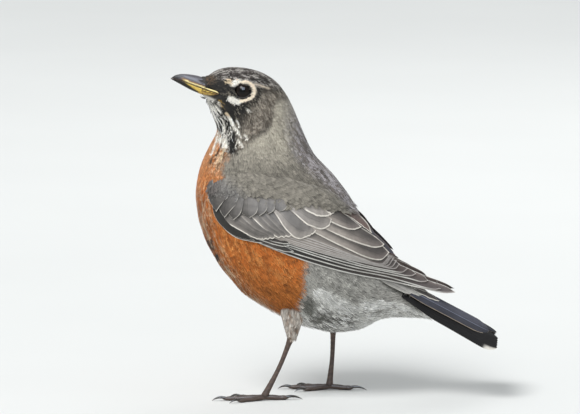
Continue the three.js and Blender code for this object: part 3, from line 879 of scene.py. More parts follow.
def skin():
    """The skin of the head, body and thighs in one, remade so that nothing parts it."""
    whole = Batch()
    for part in (skin_chart.points, *(thigh_points(side, -1.0) for side in SIDES)):
        whole.add(*capped(part))
    mesh = whole.mesh("skin")
    rough = placed("skin_rough", mesh)
    remesh = rough.modifiers.new("one", "REMESH")
    remesh.mode = "VOXEL"
    remesh.voxel_size = SKIN_VOXEL * MM
    remesh.use_smooth_shade = True
    smooth = rough.modifiers.new("smooth", "SMOOTH")
    smooth.iterations = SKIN_SMOOTHING
    whole = rough.evaluated_get(bpy.context.evaluated_depsgraph_get())
    mesh = bpy.data.meshes.new_from_object(whole)
    bpy.data.objects.remove(rough)
    at = np.empty(len(mesh.vertices) * 3, np.float32)
    mesh.vertices.foreach_get("co", at)
    at = at.reshape(-1, 3).astype(float) / MM - ORIGIN
    for name in [a.name for a in mesh.color_attributes]:
        mesh.color_attributes.remove(mesh.color_attributes[name])
    paint(mesh, plumage(at, np.full(len(at), 0.5)) * SKIN_SHADE)
    nodes = [*FLESH, "thigh_left", "thigh_right"]
    piece_of("skin", mesh, SKIN, "body_plumage", *nodes)


skin()

# ---------------------------------------------------------------- shapes of small feathers


class Shape:
    """One small feather: points as (along 0 to 1, across -1 to 1, height), and triangles."""

    def __init__(self, points, triangles):
        self.points = np.array(points, float)
        self.triangles = np.array(triangles)


def leaf(teeth, shoulders):
    """A flat feather with a raised middle, closed below, whose tip ends in loose barbs."""
    stations = len(shoulders)
    left = [(u, -w, 0) for u, w in shoulders]
    tip = []
    for k in range(2 * teeth - 1):
        turn = np.pi * (k + 1) / (2 * teeth)
        reach = 1 - 0.2 * np.cos(turn) ** 2 if k % 2 == 0 else 0.84 - 0.16 * np.cos(turn) ** 2
        tip.append((reach, -np.cos(turn) * 0.95, 0))
    right = [(u, w, 0) for u, w in reversed(shoulders)]
    rim = left + tip + right
    count = len(rim)
    top = [(u, 0, 1) for u, _ in shoulders]
    bottom = [(u, 0, -1) for u, _ in shoulders]
    triangles = []
    for start, flip in ((count, False), (count + stations, True)):
        made = []
        for k in range(stations - 1):
            mid, after = start + k, start + k + 1
            made += [(k, k + 1, mid), (k + 1, after, mid)]
            far = count - 1 - k
            made += [(far - 1, far, mid), (after, far - 1, mid)]
        centre = start + stations - 1
        for k in range(stations - 1, count - stations):
            made.append((k, k + 1, centre))
        made.append((start, count - 1, 0))
        triangles += [t[::-1] if flip else t for t in made]
    return Shape(rim + top + bottom, triangles)


def spike():
    """A three-sided barb, thickest just short of its middle."""
    points = []
    for along, half in ((0, 0.6), (0.45, 1.0)):
        points += [(along, -half, -half), (along, half, -half), (along, 0, half)]
    points.append((1, 0, 0))
    triangles = [(0, 2, 1)]
    for k in range(3):
        after = (k + 1) % 3
        triangles += [(k, after, k + 3), (after, after + 3, k + 3), (k + 3, after + 3, 6)]
    return Shape(points, triangles)


BODY_LEAF = leaf(4, [(0.0, 0.3), (0.3, 0.8), (0.62, 1.0)])
HEAD_LEAF = leaf(2, [(0.0, 0.35), (0.5, 1.0)])
BARB = spike()
TUFT_PATCH = 0.003  # how large each tuft's own patch of the OFBake map is
BAKE_RIM = 0.01  # how much is left free at the map's edges
VANE_STEPS = (1.7, 3.1)  # how far apart feathers' vane maps lie, for small and long feathers


def scatter(chart, spacing, wanted, rng):
    """Rows and columns of roots, spread evenly and about spacing apart where wanted."""
    cell = np.linalg.norm(np.cross(chart.along, chart.around), axis=-1)
    weight = (cell * wanted / spacing**2)[:-1]
    total = int(weight.sum() * TRIES)
    chosen = rng.choice(weight.size, total, p=weight.ravel() / weight.sum())
    row = chosen // chart.columns + rng.random(total)
    column = chosen % chart.columns + rng.random(total)
    places = chart.at(chart.points, row, column)
    apart = chart.at(spacing[..., None], row, column)[:, 0] * CLOSEST
    tree = KDTree(total)
    for index, place in enumerate(places):
        tree.insert(place, index)
    tree.balance()
    alive = np.ones(total, bool)
    for index in range(total):
        if alive[index]:
            for _, other, _ in tree.find_range(places[index], apart[index]):
                alive[other] = other == index
    return row[alive], column[alive]


def laid(chart, row, column, shape, flow, length, width, root_depth, lift, thick, sway):
    """Copies of a shape bent onto the chart, one at each root, and each point's normal."""
    normal = unit(chart.at(chart.normal, row, column))
    along = chart.at(chart.along, row, column)
    around = chart.at(chart.around, row, column)
    forward = unit(flow - (flow * normal).sum(-1, keepdims=True) * normal)
    side = np.cross(normal, forward)
    u, v, h = shape.points.T
    reach = (u * length[:, None])[..., None] * forward[:, None]
    spread = v * width[:, None] + sway[:, None] * (u * u) * length[:, None]
    reach = reach + spread[..., None] * side[:, None]
    aa, ab, bb = (along**2).sum(-1), (along * around).sum(-1), (around**2).sum(-1)
    det = np.maximum(aa * bb - ab * ab, 1e-6)[:, None]
    x = np.einsum("nmk,nk->nm", reach, along)
    y = np.einsum("nmk,nk->nm", reach, around)
    rows = row[:, None] + (bb[:, None] * x - ab[:, None] * y) / det
    columns = column[:, None] + (aa[:, None] * y - ab[:, None] * x) / det
    ground = chart.at(chart.points, rows, columns)
    out = unit(chart.at(chart.normal, rows, columns))
    height = -root_depth[:, None] * (1 - u) ** 2 + lift[:, None] * u**2 + h * thick
    beyond = rows - np.clip(rows, 0, chart.rows - 1.001)
    ground = ground + along[:, None] * beyond[..., None]
    points = ground + out * height[..., None]
    lean = out + 0.4 * v[:, None] * side[:, None] + 0.12 * forward[:, None]
    return points, unit(lean)


class Coat(Batch):
    """Feathers gathered for one piece, with their colours and their two maps."""

    def plant(self, points, shape, colours, places, normals, rng):
        """places are the roots' places on the unwrapped skin, 0 to 1."""
        count, size = points.shape[:2]
        u, v = shape.points[:, 0], shape.points[:, 1]
        bake = places[:, None] + np.stack([u - 0.5, v / 2], -1) * TUFT_PATCH
        # Each feather takes its streaks from its own part of the noise.
        vane = np.stack([u, v * 0.5], -1) + rng.integers(0, 60, (count, 1, 2)) * VANE_STEPS[0]
        faces = shape.triangles + np.arange(count)[:, None, None] * size
        self.add(points, faces, colours, bake, vane, normals)


def planted(
    coats, chart, shape, row, column, rng, flow, length, width, depth, lift, thick,
    stray=0.1, sway=0.08, tone=0.06, mixed=0.06, edge=1.1, colour=None, scaled=False, on_wing=False
):
    """Grows one feather from each given root into the coat of its side of the bird.

    flow is which way they point; depth, how deep they root; lift, how high their tips stand;
    stray, sway, tone and mixed, how much their direction, bend, light and colour vary; edge,
    how light their rims are. Scaled ones have pale rims round dark middles."""
    count = len(row)
    chance, tint = (
        chart.at(field[..., None], row * STREAK_FINE[0], column * STREAK_FINE[1])[:, 0].clip(0, 1)
        for field in streaks
    )
    chance = np.clip(chance + rng.normal(0, mixed, count), 0, 0.999)
    roots = chart.at(chart.points, row, column)
    flow = flow + rng.normal(0, stray, (count, 3))
    length = length * rng.uniform(*VARIED, count)
    width = width * rng.uniform(*VARIED, count)
    lift = lift * rng.uniform(0.4, 1.6, count)
    sway = rng.normal(0, sway, count)
    depth = np.broadcast_to(depth, count)
    points, normals = laid(
        chart, row, column, shape, flow, length, width, depth, lift, thick, sway
    )
    middle = points.mean(1)
    light = (1 + tone * (1.7 * (tint - 0.5) + rng.normal(0, 0.85, count)))[:, None]
    light = np.clip(light, 0.35, 1.7)
    if colour is not None:
        inside = border = colour * light
    elif scaled:
        inside = plumage(middle, chance / 2, on_wing) * light
        border = plumage(middle, 0.5 + chance / 2, on_wing) * light
    else:
        inside = plumage(middle, chance, on_wing) * light
        border = inside * edge
    u, v = shape.points[:, 0], np.abs(shape.points[:, 1])
    rim = (np.maximum(ease(0.4, 0.95, v), ease(0.74, 0.95, u)) * 0.85)[:, None]
    shade = (0.7 + 0.3 * ease(0, 0.6, u))[:, None]
    colours = (inside[:, None] * (1 - rim) + border[:, None] * rim) * shade
    places = np.stack([row / chart.rows, (column / chart.columns) % 1], -1)
    places = places * (1 - 2 * BAKE_RIM) + BAKE_RIM
    for sign, coat in coats.items():
        here = np.sign(roots[:, 0]) == sign
        coat.plant(points[here], shape, colours[here], places[here], normals[here], rng)


# ---------------------------------------------------------------- the coat

slices_at = np.repeat(slice_places[:, None], COLUMNS, 1)
spacing_at = np.repeat(coat_spacing[:, None], COLUMNS, 1)
along_wing, across_wing = wing_place(body.points)
under_wing = (
    (np.abs(body.points[..., 0]) > 6 + 9 * (along_wing > 56))
    & (along_wing > 2)
    & (across_wing > wing_edge(along_wing) + 4.5)
    & (slices_at > 10.5)
    & (np.abs(mantle.points - body.points).max(-1) > 1.2)
)


def eye_distance(points):
    """How far points are from the nearer eye's middle, seen along its axis."""
    mirrored = np.abs(points[..., :1]) * [1, 0, 0] + points * [0, 1, 1]
    offset = mirrored - EYE
    axis = unit(EYE_AXIS)
    return np.linalg.norm(offset - (offset @ axis)[..., None] * axis, axis=-1)


def natural_flow(chart, row, column):
    """The way towards the tail at each root."""
    return unit(chart.at(chart.along, row, column))


def coat_at(values, row):
    """One of the coat's measures at each root."""
    return np.interp(row, np.arange(ROWS), values)


def head_look(points, row, column):
    """Short feathers that sweep back from the bill and part round the eye."""
    away = unit(points - EYE * np.stack([np.sign(points[:, 0]), *np.ones((2, len(points)))], -1))
    near = (1 - ease(3.8, 7.0, eye_distance(points)))[:, None]
    length = coat_at(coat_length, row) * (1 - 0.45 * near[:, 0])
    return dict(
        flow=natural_flow(body, row, column) + away * near * 0.6,
        length=length, width=length * 0.15, depth=coat_at(coat_depth, row) * 0.8,
        lift=0.12, thick=0.09, tone=0.16, stray=0.12, mixed=0.13, edge=1.2,
    )


def body_look(points, row, column):
    """Longer, softer feathers, loosest on the belly and flanks."""
    loose = 1 - ease(50, 66, points[:, 2])
    at_end = ease(ROWS - 16, ROWS, row)
    length = coat_at(coat_length, row)
    length = length * (1 - at_end * (0.35 + 0.3 * np.sin(2.3 * column + row)))
    return dict(
        flow=natural_flow(body, row, column), length=length * (1 + 0.1 * loose),
        width=length * 0.27, depth=coat_at(coat_depth, row), lift=0.15 + 0.25 * loose,
        thick=0.12, stray=0.08, tone=0.17, edge=1.15,
    )


def scale_look(points, row, column):
    """Broad rounded feathers with dark middles, down the middle of the back."""
    size = np.interp(row, [60, 90, 130, 160], [3.6, 5.6, 7.0, 7.0])
    return dict(
        flow=natural_flow(body, row, column), length=size, width=size * 0.5, depth=0.7,
        lift=0.25, thick=0.12, stray=0.05, tone=0.1, scaled=True,
    )


def fluff_look(points, row, column):
    """Long white barbs that stand loose on the flank."""
    return dict(
        flow=natural_flow(body, row, column), length=8.5, width=0.2, depth=0.3, lift=1.5,
        thick=0.12, stray=0.2, sway=0.2, tone=0.2, colour=BELLY_WHITE,
    )


def wisp_look(points, row, column):
    """Single loose barbs that lie over the feathers and blur their edges."""
    loose = 1 - ease(50, 66, points[:, 2])
    return dict(
        flow=head_look(points, row, column)["flow"],
        length=coat_at(coat_length, row) * 0.62 * (1 + 0.3 * loose), width=0.16, depth=0.25,
        lift=np.interp(row, [0, 60], [0.12, 0.25]) + 0.6 * loose,
        thick=0.1, stray=0.12, sway=0.14, tone=0.32, mixed=0.2, edge=1.0,
    )


def plant_pair(title, wanted, chart, shape, spacing, rng, look, material, slot, on_wing=False):
    """Grows feathers over part of a chart, as a left and a right piece. look gives what
    planted asks for at each root."""
    coats = {sign: Coat() for sign in SIDES.values()}
    row, column = scatter(chart, spacing, wanted, rng)
    given = look(chart.at(chart.points, row, column), row, column)
    planted(coats, chart, shape, row, column, rng, on_wing=on_wing, **given)
    for side, sign in SIDES.items():
        coats[sign].piece(f"{title}_{side}", material, slot)


def slices(low, high):
    """Where on the body it lies between two places counted in SLICES."""
    return (slices_at >= low) & (slices_at < high)


bill_edge = np.interp(body.points[..., 2], BILL_EDGE_HEIGHT, BILL_EDGE_Y)
on_face = (eye_distance(body.points) > BARE_RING) & (body.points[..., 1] > bill_edge)
at_tail = (body.points[..., 1] > 35) & (body.points[..., 2] > 49)
shown = ~under_wing & ~at_tail
off_fold = body.points[..., 2] - (58.5 - 0.62 * (body.points[..., 1] + 10))
fluffy = (np.abs(off_fold) < 2.8) & (np.abs(body.points[..., 1] + 4.5) < 9.5) & shown
fluffy &= np.abs(body.points[..., 0]) > 8
ridge = (np.abs(body.points[..., 0]) < 17) & (body.points[..., 2] > ends[:, 3][:, None] + 25)
ridge &= slices(7.5, 17.5)
barb_spacing = spacing_at * np.interp(slices_at, [5, 9], [0.5, 0.38])
rng = np.random.default_rng(COAT_SEED)
head, soft = (HEAD_FEATHER, "head_plumage"), (SOFT_FEATHER, "body_plumage")
for title, wanted, shape, spacing, look, kind in (
    ("head_feathers", slices(0, 7.6) & on_face, HEAD_LEAF, spacing_at, head_look, head),
    ("neck_feathers", slices(7.6, 11) & shown, BODY_LEAF, spacing_at, body_look, soft),
    ("breast_feathers", slices(11, 15) & shown, BODY_LEAF, spacing_at, body_look, soft),
    ("belly_feathers", slices(15, 99) & shown, BODY_LEAF, spacing_at, body_look, soft),
    ("flank_wisps", fluffy, BARB, np.ones(fluffy.shape), fluff_look, soft),
    ("back_feathers", ridge & shown, BODY_LEAF, spacing_at * 1.6, scale_look, soft),
    ("head_barbs", slices(0, 6.5) & on_face, BARB, barb_spacing, wisp_look, soft),
    ("neck_barbs", slices(6.5, 12) & shown, BARB, barb_spacing, wisp_look, soft),
    ("belly_barbs", slices(12, 99) & shown, BARB, barb_spacing, wisp_look, soft),
):
    plant_pair(title, wanted, body, shape, spacing, rng, look, *kind)

# ---------------------------------------------------------------- the scapulars

along_mantle, across_mantle = wing_place(mantle.points)
wrist_front = np.interp(
    across_mantle,
    [-5, -1.5, 0.3, 3.2, 5.6, 9.6, 14.1, 20, 26],
    [6.3, 1.8, 0, -1.8, -1.7, 0, 1.7, 4, 8],
)
over_wing = (
    (across_mantle > scapular_edge(along_mantle))
    & (along_mantle > wrist_front)
    & (slices_at > 9)
    & (along_mantle < 84)
    & (along_mantle > -6)
    & (np.abs(mantle.points - body.points).max(-1) > 0.6)
)


def wing_flow(row, column):
    """Down the body's length, turned towards the folded wing's own direction."""
    back = np.array([0.0, np.cos(WING_SLOPE), np.sin(WING_SLOPE) - 0.15])
    return natural_flow(mantle, row, column) + 1.1 * back


def scapular_look(points, row, column):
    """Feathers that fall from the back and the bend of the wing over its upper part."""
    along, across = wing_place(points)
    at_edge = 1 - ease(1.0, 6.0, across - scapular_edge(along))
    length = np.interp(along, [0, 12, 30], [3.0, 4.6, 6.6]) * (1 - 0.3 * at_edge)
    return dict(
        flow=wing_flow(row, column), length=length, width=length * 0.26, depth=0.6,
        lift=0.35 + 0.35 * at_edge, thick=0.11, stray=0.1, tone=0.12, edge=1.15,
    )


def wing_wisp_look(points, row, column):
    """Loose barbs over the scapulars."""
    along, across = wing_place(points)
    at_edge = 1 - ease(1.0, 6.0, across - scapular_edge(along))
    return dict(
        flow=wing_flow(row, column), length=np.interp(along, [0, 12, 30], [2.6, 3.4, 4.4]),
        width=0.14, depth=0.25, lift=0.4 + 0.3 * at_edge,
        thick=0.09, stray=0.13, sway=0.14, tone=0.32, edge=1.0,
    )


spacing = np.interp(along_mantle, [0, 25], [1.1, 1.7])
for title, shape, apart, look in (
    ("scapulars", BODY_LEAF, spacing, scapular_look),
    ("scapular_barbs", BARB, spacing * 0.34, wing_wisp_look),
):
    plant_pair(
        title, over_wing, mantle, shape, apart, rng, look, SOFT_FEATHER, "wing_coverts", True
    )

# ---------------------------------------------------------------- wing feathers

RUN = np.sin(np.linspace(0, 1, 36) * np.pi / 2) ** 0.8  # stations along a long feather
SHAFT = 0.42  # how far across a feather its shaft lies
WING_START = (-14.0, -30.0)  # the first point of the wing's chart, along and across it
WING_SPAN = (160, 80)  # how many points it has
FAR_OUT = {"wing": 60, "face": 40}  # how far from the mid-plane sideways rays start


def from_side(tree, sign, y, z, start):
    """How far out a tree's surface lies, met by a ray from the side, or None."""
    distance = tree.ray_cast(Vector((sign * start, y, z)), Vector((-sign, 0, 0)), start)[3]
    return None if distance is None else start - distance


def wing_chart(side):
    """The wing's outside over its own axes, one point to a millimetre."""
    tree = tree_of(*(name for name in WINGS if side in name), "trunk", "rump", "neck")
    out = np.full(WING_SPAN, np.nan)
    for row, column in np.ndindex(WING_SPAN):
        y, z = from_wing(WING_START[0] + row, WING_START[1] + column)
        found = from_side(tree, SIDES[side], y, z, FAR_OUT["wing"])
        if found is not None:
            out[row, column] = found
    return softened(filled(out), WING_SMOOTHING, False)


def outline(root, tip, width, blunt, share):
    """The lower and upper edges of a plain feather whose last part, blunt, is rounded; share
    of its width lies below its shaft."""
    root, tip = np.array(root, float), np.array(tip, float)
    run = tip - root
    across = np.array([-run[1], run[0]]) / np.linalg.norm(run)
    straight = np.linspace(0, 1 - blunt, 6)
    u = np.append(straight, 1 - blunt * (1 - np.sin(np.linspace(0.3, 1.57, 6))))
    rounding = np.sqrt(np.maximum(1 - np.clip((u - 1 + blunt) / blunt, 0, 1) ** 2, 0))
    half = (width * (0.5 + 0.5 * ease(0, 0.35, u)) * rounding)[:, None]
    middle = root + run * u[:, None]
    return middle - across * (half * share), middle + across * (half * (1 - share))


class Vanes:
    """Long feathers of one wing or of the tail, each a thin closed blade."""

    def __init__(self, side, shape):
        self.feathers = []
        self.side = side
        self.shape = shape  # turns along, across and height into a place

    def add(
        self, lower, upper, web, far, edge, rim, top_rim, fall, low, high, seed,
        tilt=0.25, arch=0.35, ragged=0.06, fade=0, lifted=0, shaft=None, tip=None
    ):
        """One feather between its lower and its upper edge, each a line of knots from root
        to tip. web and far are its colours at root and tip, edge its pale edges'; rim and
        top_rim, how wide those are; fall, where from its lower edge it darkens and to how
        much, a painted shade where the next feather's edge lies over it, or, above 1, where it
        turns lighter as painted light; low and high, its height at its root and tip; seed, for
        its unevenness; tilt, how far its lower edge stands proud; arch, how far its middle does;
        ragged, how uneven its outline is; fade, how much its edges fade at the tip; lifted, how
        much of its far colour the inner web takes; shaft, its shaft's colour; tip, a colour for
        the tip's lower half."""
        rng = np.random.default_rng(seed)
        bottom_line = through(lower, RUN * (len(lower) - 1))
        top_line = through(upper, RUN * (len(upper) - 1))
        gap = top_line - bottom_line
        width = np.maximum(np.linalg.norm(gap, axis=1), 0.05)[:, None]
        teeth = np.convolve(rng.normal(0, ragged, len(RUN) + 2), [0.6, 1, 0.6], "valid")
        bottom_line = bottom_line + gap / width * (teeth * ease(0.2, 0.6, RUN))[:, None]
        low_rim, high_rim = np.minimum(rim / width, 0.35), np.minimum(top_rim / width, 0.2)
        half_web = (low_rim * 1.4 + SHAFT - 0.03) / 2
        columns = [0, low_rim * 0.5, low_rim, low_rim * 1.4, half_web, SHAFT - 0.025, SHAFT]
        columns += [SHAFT + 0.025, 0.68, 1 - high_rim * 1.5, 1 - high_rim * 0.7, 1]
        v = np.concatenate([np.broadcast_to(c, width.shape) for c in columns], 1)
        u = RUN[:, None]
        place = bottom_line[:, None] + (top_line - bottom_line)[:, None] * v[..., None]
        bow = (1 - (2 * v - 1) ** 2) * arch
        height = low + (high - low) * u - tilt * (2 * v - 1) + bow * np.minimum(width / 8, 1)
        thick = 0.05 + 0.13 * np.minimum(v, 1 - v) * 2  # half of it, least at the edges
        along, across = place[..., 0], place[..., 1]
        points = [self.shape(along, across, height + rise) for rise in (thick, -thick)]

        reach = v * width
        # Painted shade: darker with distance from the lower edge, up to where the next feather's edge lies
        # over this one; lighter instead where deep is above 1.
        start, end, deep = fall
        late = ease(0.15, 0.95, u + 0.15 * v)[..., None]
        shade = (1 - (1 - deep) * ease(start, end, reach))[..., None]
        colour = (web * (1 - late) + far * late) * shade
        colour = over(colour, ease(2.4, 4.0, reach) * lifted, far)
        on_shaft = ((np.arange(v.shape[1]) == 6) & (u < 0.95))[..., None]
        colour = np.where(on_shaft, colour * 0.7 if shaft is None else shaft, colour)
        mottle = np.convolve(rng.normal(0, 0.05, len(RUN) + 2), [0.5, 1, 0.5], "valid")
        colour = colour * (1 + mottle[:, None, None] + rng.normal(0, 0.02, (*v.shape, 1)))
        pale = (1 - ease(rim, rim * 1.35, reach)) * ease(0.02, 0.2, u)
        pale = pale * (1 - fade * ease(0.72, 0.9, u))
        above = (1 - ease(top_rim, top_rim * 1.4, (1 - v) * width)) * ease(0.3, 0.6, u)
        pale = np.maximum(pale, above * 0.8) * rng.normal(0.92, 0.14, (len(RUN), 1)).clip(0, 1)
        colour = over(colour, pale, edge)
        if tip is not None:
            colour = over(colour, ease(0.5, 0.62, u) * (1 - ease(0.16, 0.3, v)), tip)
        length = np.linalg.norm(bottom_line[-1] - bottom_line[0])
        vane = np.stack([u * length * 0.12 + 0 * v, 0.5 * np.abs(v - SHAFT) + 0.05 * u], -1)
        self.feathers.append((np.stack(points), np.stack([colour] * 2), np.stack([vane] * 2)))

    def piece(self, name, material, slot, *nodes):
        """All feathers in one, each with its own cell of the OFBake map, top and underside
        side by side in it."""
        rows, columns = self.feathers[0][1].shape[1:3]
        size = rows * columns
        one = grid_faces(rows, columns)
        right = np.arange(1, rows) * columns + columns - 1
        last = np.arange(columns - 2, -1, -1) + (rows - 1) * columns
        left = np.arange(rows - 2, 0, -1) * columns
        rim = np.concatenate([np.arange(columns), right, last, left])
        after = np.roll(rim, -1)
        walls = np.stack([rim, rim + size, after + size, after], -1)
        both = outward(np.concatenate([one[:, ::-1], one + size, walls[:, ::-1]]), self.side)
        cells = int(np.ceil(np.sqrt(len(self.feathers))))
        flat = np.stack(np.meshgrid(RUN, np.linspace(0, 0.5, columns), indexing="ij"), -1)
        spots = [flat * [0.94, 0.92] + [0.03, half * 0.94 + 0.02] for half in (0, 0.5)]
        whole = Batch()
        for index, (points, colours, vane) in enumerate(self.feathers):
            corner = np.array([index // cells, index % cells]) / cells
            bake = np.stack([corner + spot / cells for spot in spots])
            whole.add(points, both, colours, bake, vane + index * VANE_STEPS[1])
        whole.piece(name, material, slot, *nodes)


def between(lines, places):
    """Lines blended between neighbours in a list of them, all with as many knots."""
    lines = np.array(lines, float)
    blended = through(lines.reshape(len(lines), -1), np.array(places, float))
    return blended.reshape(len(places), *lines.shape[1:])


# The wing's long feathers from the outermost in, by their edges from root to tip, as places
# along and across the wing. Where there is one line, it is the lower edge. Some secondaries
# and greater coverts are blended between those listed.
PRIMARIES = [
    [(20, -11.2), (41, -11.3), (61, -10.7), (83, -9.1), (104, -6.8), (121, -4.4), (133, -2.4), (138.8, 0.2)],
    [(22, -9.8), (48, -9.4), (63, -8.4), (81, -7.2), (100, -5.2), (116, -4.2), (127, -2.9), (131, -0.9)],
    [(26, -8.4), (50, -7.0), (66, -6.2), (84, -5.3), (99, -3.8), (111, -2.3), (120, -1.4), (123.2, 0.5)],
    [(28, -7.0), (48, -6.0), (62, -5.2), (76, -4.3), (92, -3.2), (105, -1.9), (113, -0.7), (116, 1.6)],
    [(30, -6.0), (48, -4.8), (64, -3.8), (76, -3.0), (90, -2.5), (102, -1.4), (108.5, -0.2), (110.9, 2.9)],
]
SECONDARIES = [
    [(36, -5.4), (50, -4.9), (65, -3.6), (80, -2.0), (92, -1.0), (99, -0.5), (104.3, 0.7), (105.8, 3.6)],
    [(36, -3.6), (50, -2.6), (65, -1.5), (80, -0.6), (90, -0.3), (96, -0.1), (99.6, 1.4), (101.0, 6.0)],
    [(38, 0.0), (50, 0.8), (62, 1.2), (75, 0.9), (86, 0.5), (92, 0.1), (97, 1.2), (99.3, 6.0)],
]
# The tertials, each by its lower edge, then its upper edge.
TERTIALS = [
    ([(50, 6.3), (58, 4.9), (67, 3.8), (75.5, 3.0), (84, 2.0), (91, 1.9), (95.9, 3.2), (98.4, 7.4)],
     [(50, 13), (75, 12), (90, 10.6), (98.4, 7.4)]),
    ([(50, 9.9), (61, 8.4), (68, 8.0), (75, 7.5), (82, 7.2), (89, 7.4), (92.9, 8.5), (94.4, 10.4)],
     [(50, 16), (70, 16.6), (80, 14.5), (88, 12.6), (94.4, 10.4)]),
    ([(66, 18.2), (73, 17.2), (80, 15.2), (86.3, 13.4)],
     [(66, 21.6), (75, 20.0), (82, 17.2), (86.3, 13.4)]),
    ([(52, 14.6), (58, 13.4), (64, 12.6), (70, 12.2), (74.5, 12.3), (77.5, 13.2), (79.8, 14.9)],
     [(52, 20), (63, 19.4), (70, 18.0), (79.8, 14.9)]),
]
# The innermost feathers, which close the wing to the back: lower edge, then upper edge.
INNERMOST = [
    ([(56, 12), (70, 11), (82, 9.8), (92, 8.2), (99, 7.0), (102, 6.6)],
     [(56, 21), (70, 18.6), (82, 15.6), (92, 12.2), (99, 8.8), (102, 6.6)]),
    ([(52, 15), (62, 14.6), (72, 13.6), (80, 12.8), (86, 12.2), (90, 12.0)],
     [(52, 26), (62, 24.2), (72, 21.2), (80, 18), (86, 14.8), (90, 12.0)]),
]
GREATER_COVERTS = [
    [(8.1, -8.0), (13, -8.5), (19, -8.6), (26, -9.3), (31.2, -9.4), (32.2, -8.4)],
    [(12.5, -6.5), (19, -7.7), (25.8, -8.8), (31, -8.9), (34.4, -8.2), (35.2, -7.0)],
    [(17.4, -3.5), (22.6, -5.0), (27.1, -6.5), (32.5, -7.1), (37.0, -6.6), (38.2, -5.4)],
    [(23.2, 1.4), (28, -0.4), (32.7, -2.3), (37.6, -3.8), (41.4, -3.9), (42.8, -2.8)],
    [(28.3, 3.9), (32.6, 2.1), (37.3, 0.2), (41.8, -1.5), (45.4, -1.8), (47.0, -0.6)],
]
# The inner greater coverts, each by its lower edge, then its upper edge, and how light.
INNER_COVERTS = [
    ([(32.0, 8.0), (37, 5.1), (41, 2.3), (46, -0.2), (50.4, -1.0), (53.4, 0.6), (55.8, 3.0), (57.6, 6.2)],
     [(33, 12.5), (42, 11.5), (51, 10), (57.6, 6.2)], 1.0),
    ([(40.0, 11.4), (45, 9.9), (49, 8.5), (53, 7.5), (57, 7.6), (60.5, 8.5), (63.1, 11.2), (63.0, 14.4)],
     [(41, 16), (48, 16.4), (56, 16), (63.0, 14.4)], 1.0),
    ([(45, 15.2), (49, 13.8), (53.2, 13.4), (57, 13.6), (60, 14.4), (62, 16.2)],
     [(46, 19.5), (54, 19.5), (62, 16.2)], 1.05),
    ([(54.5, 18.4), (57, 17.2), (60, 16.2), (62.3, 16.4), (63.7, 18.4)],
     [(55, 20.2), (58, 20.3), (61.5, 20.2), (63.7, 18.4)], 0.72),
]
PRIMARY_COVERTS = [
    [(22, -11.2), (34, -11.0), (42, -10.6), (48, -9.7), (51.4, -8.0)],
    [(25, -9.6), (34, -9.2), (41, -8.6), (45.5, -7.6), (47.9, -6.0)],
    [(28, -8.6), (36, -7.9), (42, -7.0), (46, -5.8), (47.5, -4.6)],
]
# The median coverts hang down: each by its front edge, then its rear edge, and how light.
MEDIAN_COVERTS = [
    ([(-1.0, 4.2), (-0.4, 0.8), (1.8, -2.2), (6.9, -5.4)],
     [(8.9, 4.3), (8.4, 1.7), (7.6, -1.5), (6.9, -5.4)], 0.45),
    ([(6.0, 5.0), (6.0, 1.0), (8.0, -3.5), (11.8, -6.1)],
     [(16.0, 6.1), (14.8, 3.1), (13.4, -0.8), (11.8, -6.1)], 0.52),
    ([(11, 7), (10.5, 1.5), (12.5, -3.0), (16.6, -4.8)],
     [(17.2, 7.5), (18.3, 3.0), (18.3, -1.0), (16.6, -4.8)], 0.6),
    ([(15.5, 9), (16, 4), (18.6, 0.2), (23.6, -0.3)],
     [(23.5, 9.6), (25.5, 6.5), (25.7, 3.0), (23.6, -0.3)], 0.76),
    ([(22, 11), (22, 7), (24, 3.4), (27.8, 2.6)],
     [(29, 11.5), (30, 8.5), (29.7, 5.5), (27.8, 2.6)], 0.8),
    ([(26.5, 12.4), (26.6, 9.6), (28.4, 6.2), (31.6, 5.2)],
     [(32.5, 13), (33.6, 10), (33.4, 7.6), (31.6, 5.2)], 0.84),
    ([(31.4, 14.4), (31.2, 11.4), (33.0, 8.8), (36.0, 8.4)],
     [(36.4, 14.6), (38.8, 12.6), (38.4, 10.2), (36.0, 8.4)], 0.86),
]
# The small coverts at the bend of the wing: each by its tip, and how light.
LESSER_COVERTS = [
    ((2.4, -1.2), 0.5),
    ((6.8, -1.2), 0.6),
    ((11.6, -0.6), 0.75),
    ((-0.2, 2.4), 0.6),
    ((3.9, 1.6), 0.75),
    ((8.6, 2.6), 0.85),
    ((13.6, 3.6), 1.0),
]
# The alula's feathers, each by its lower edge and its width.
ALULA = [
    ([(4.2, -4.4), (6.6, -7.4), (9.8, -10.0), (14.9, -12.0), (19.5, -12.9), (25, -12.2), (30.6, -10.6)], 5.0),
    ([(12, -11.0), (17, -12.9), (22, -13.5), (27, -12.5), (32, -11.2), (34.6, -10.3)], 2.4),
]


def upper_edge(lower, width, taper=1.0):
    """An upper edge width above a lower one, coming down to the same tip."""
    lower = np.array(lower, float)
    ahead = unit(np.gradient(lower, axis=0))
    part = np.linspace(0, 1, len(lower))
    rise = width * np.sqrt(1 - part ** (3 * taper))
    line = lower + np.stack([-ahead[:, 1], ahead[:, 0]], -1) * rise[:, None]
    line[-1] = lower[-1]
    return line


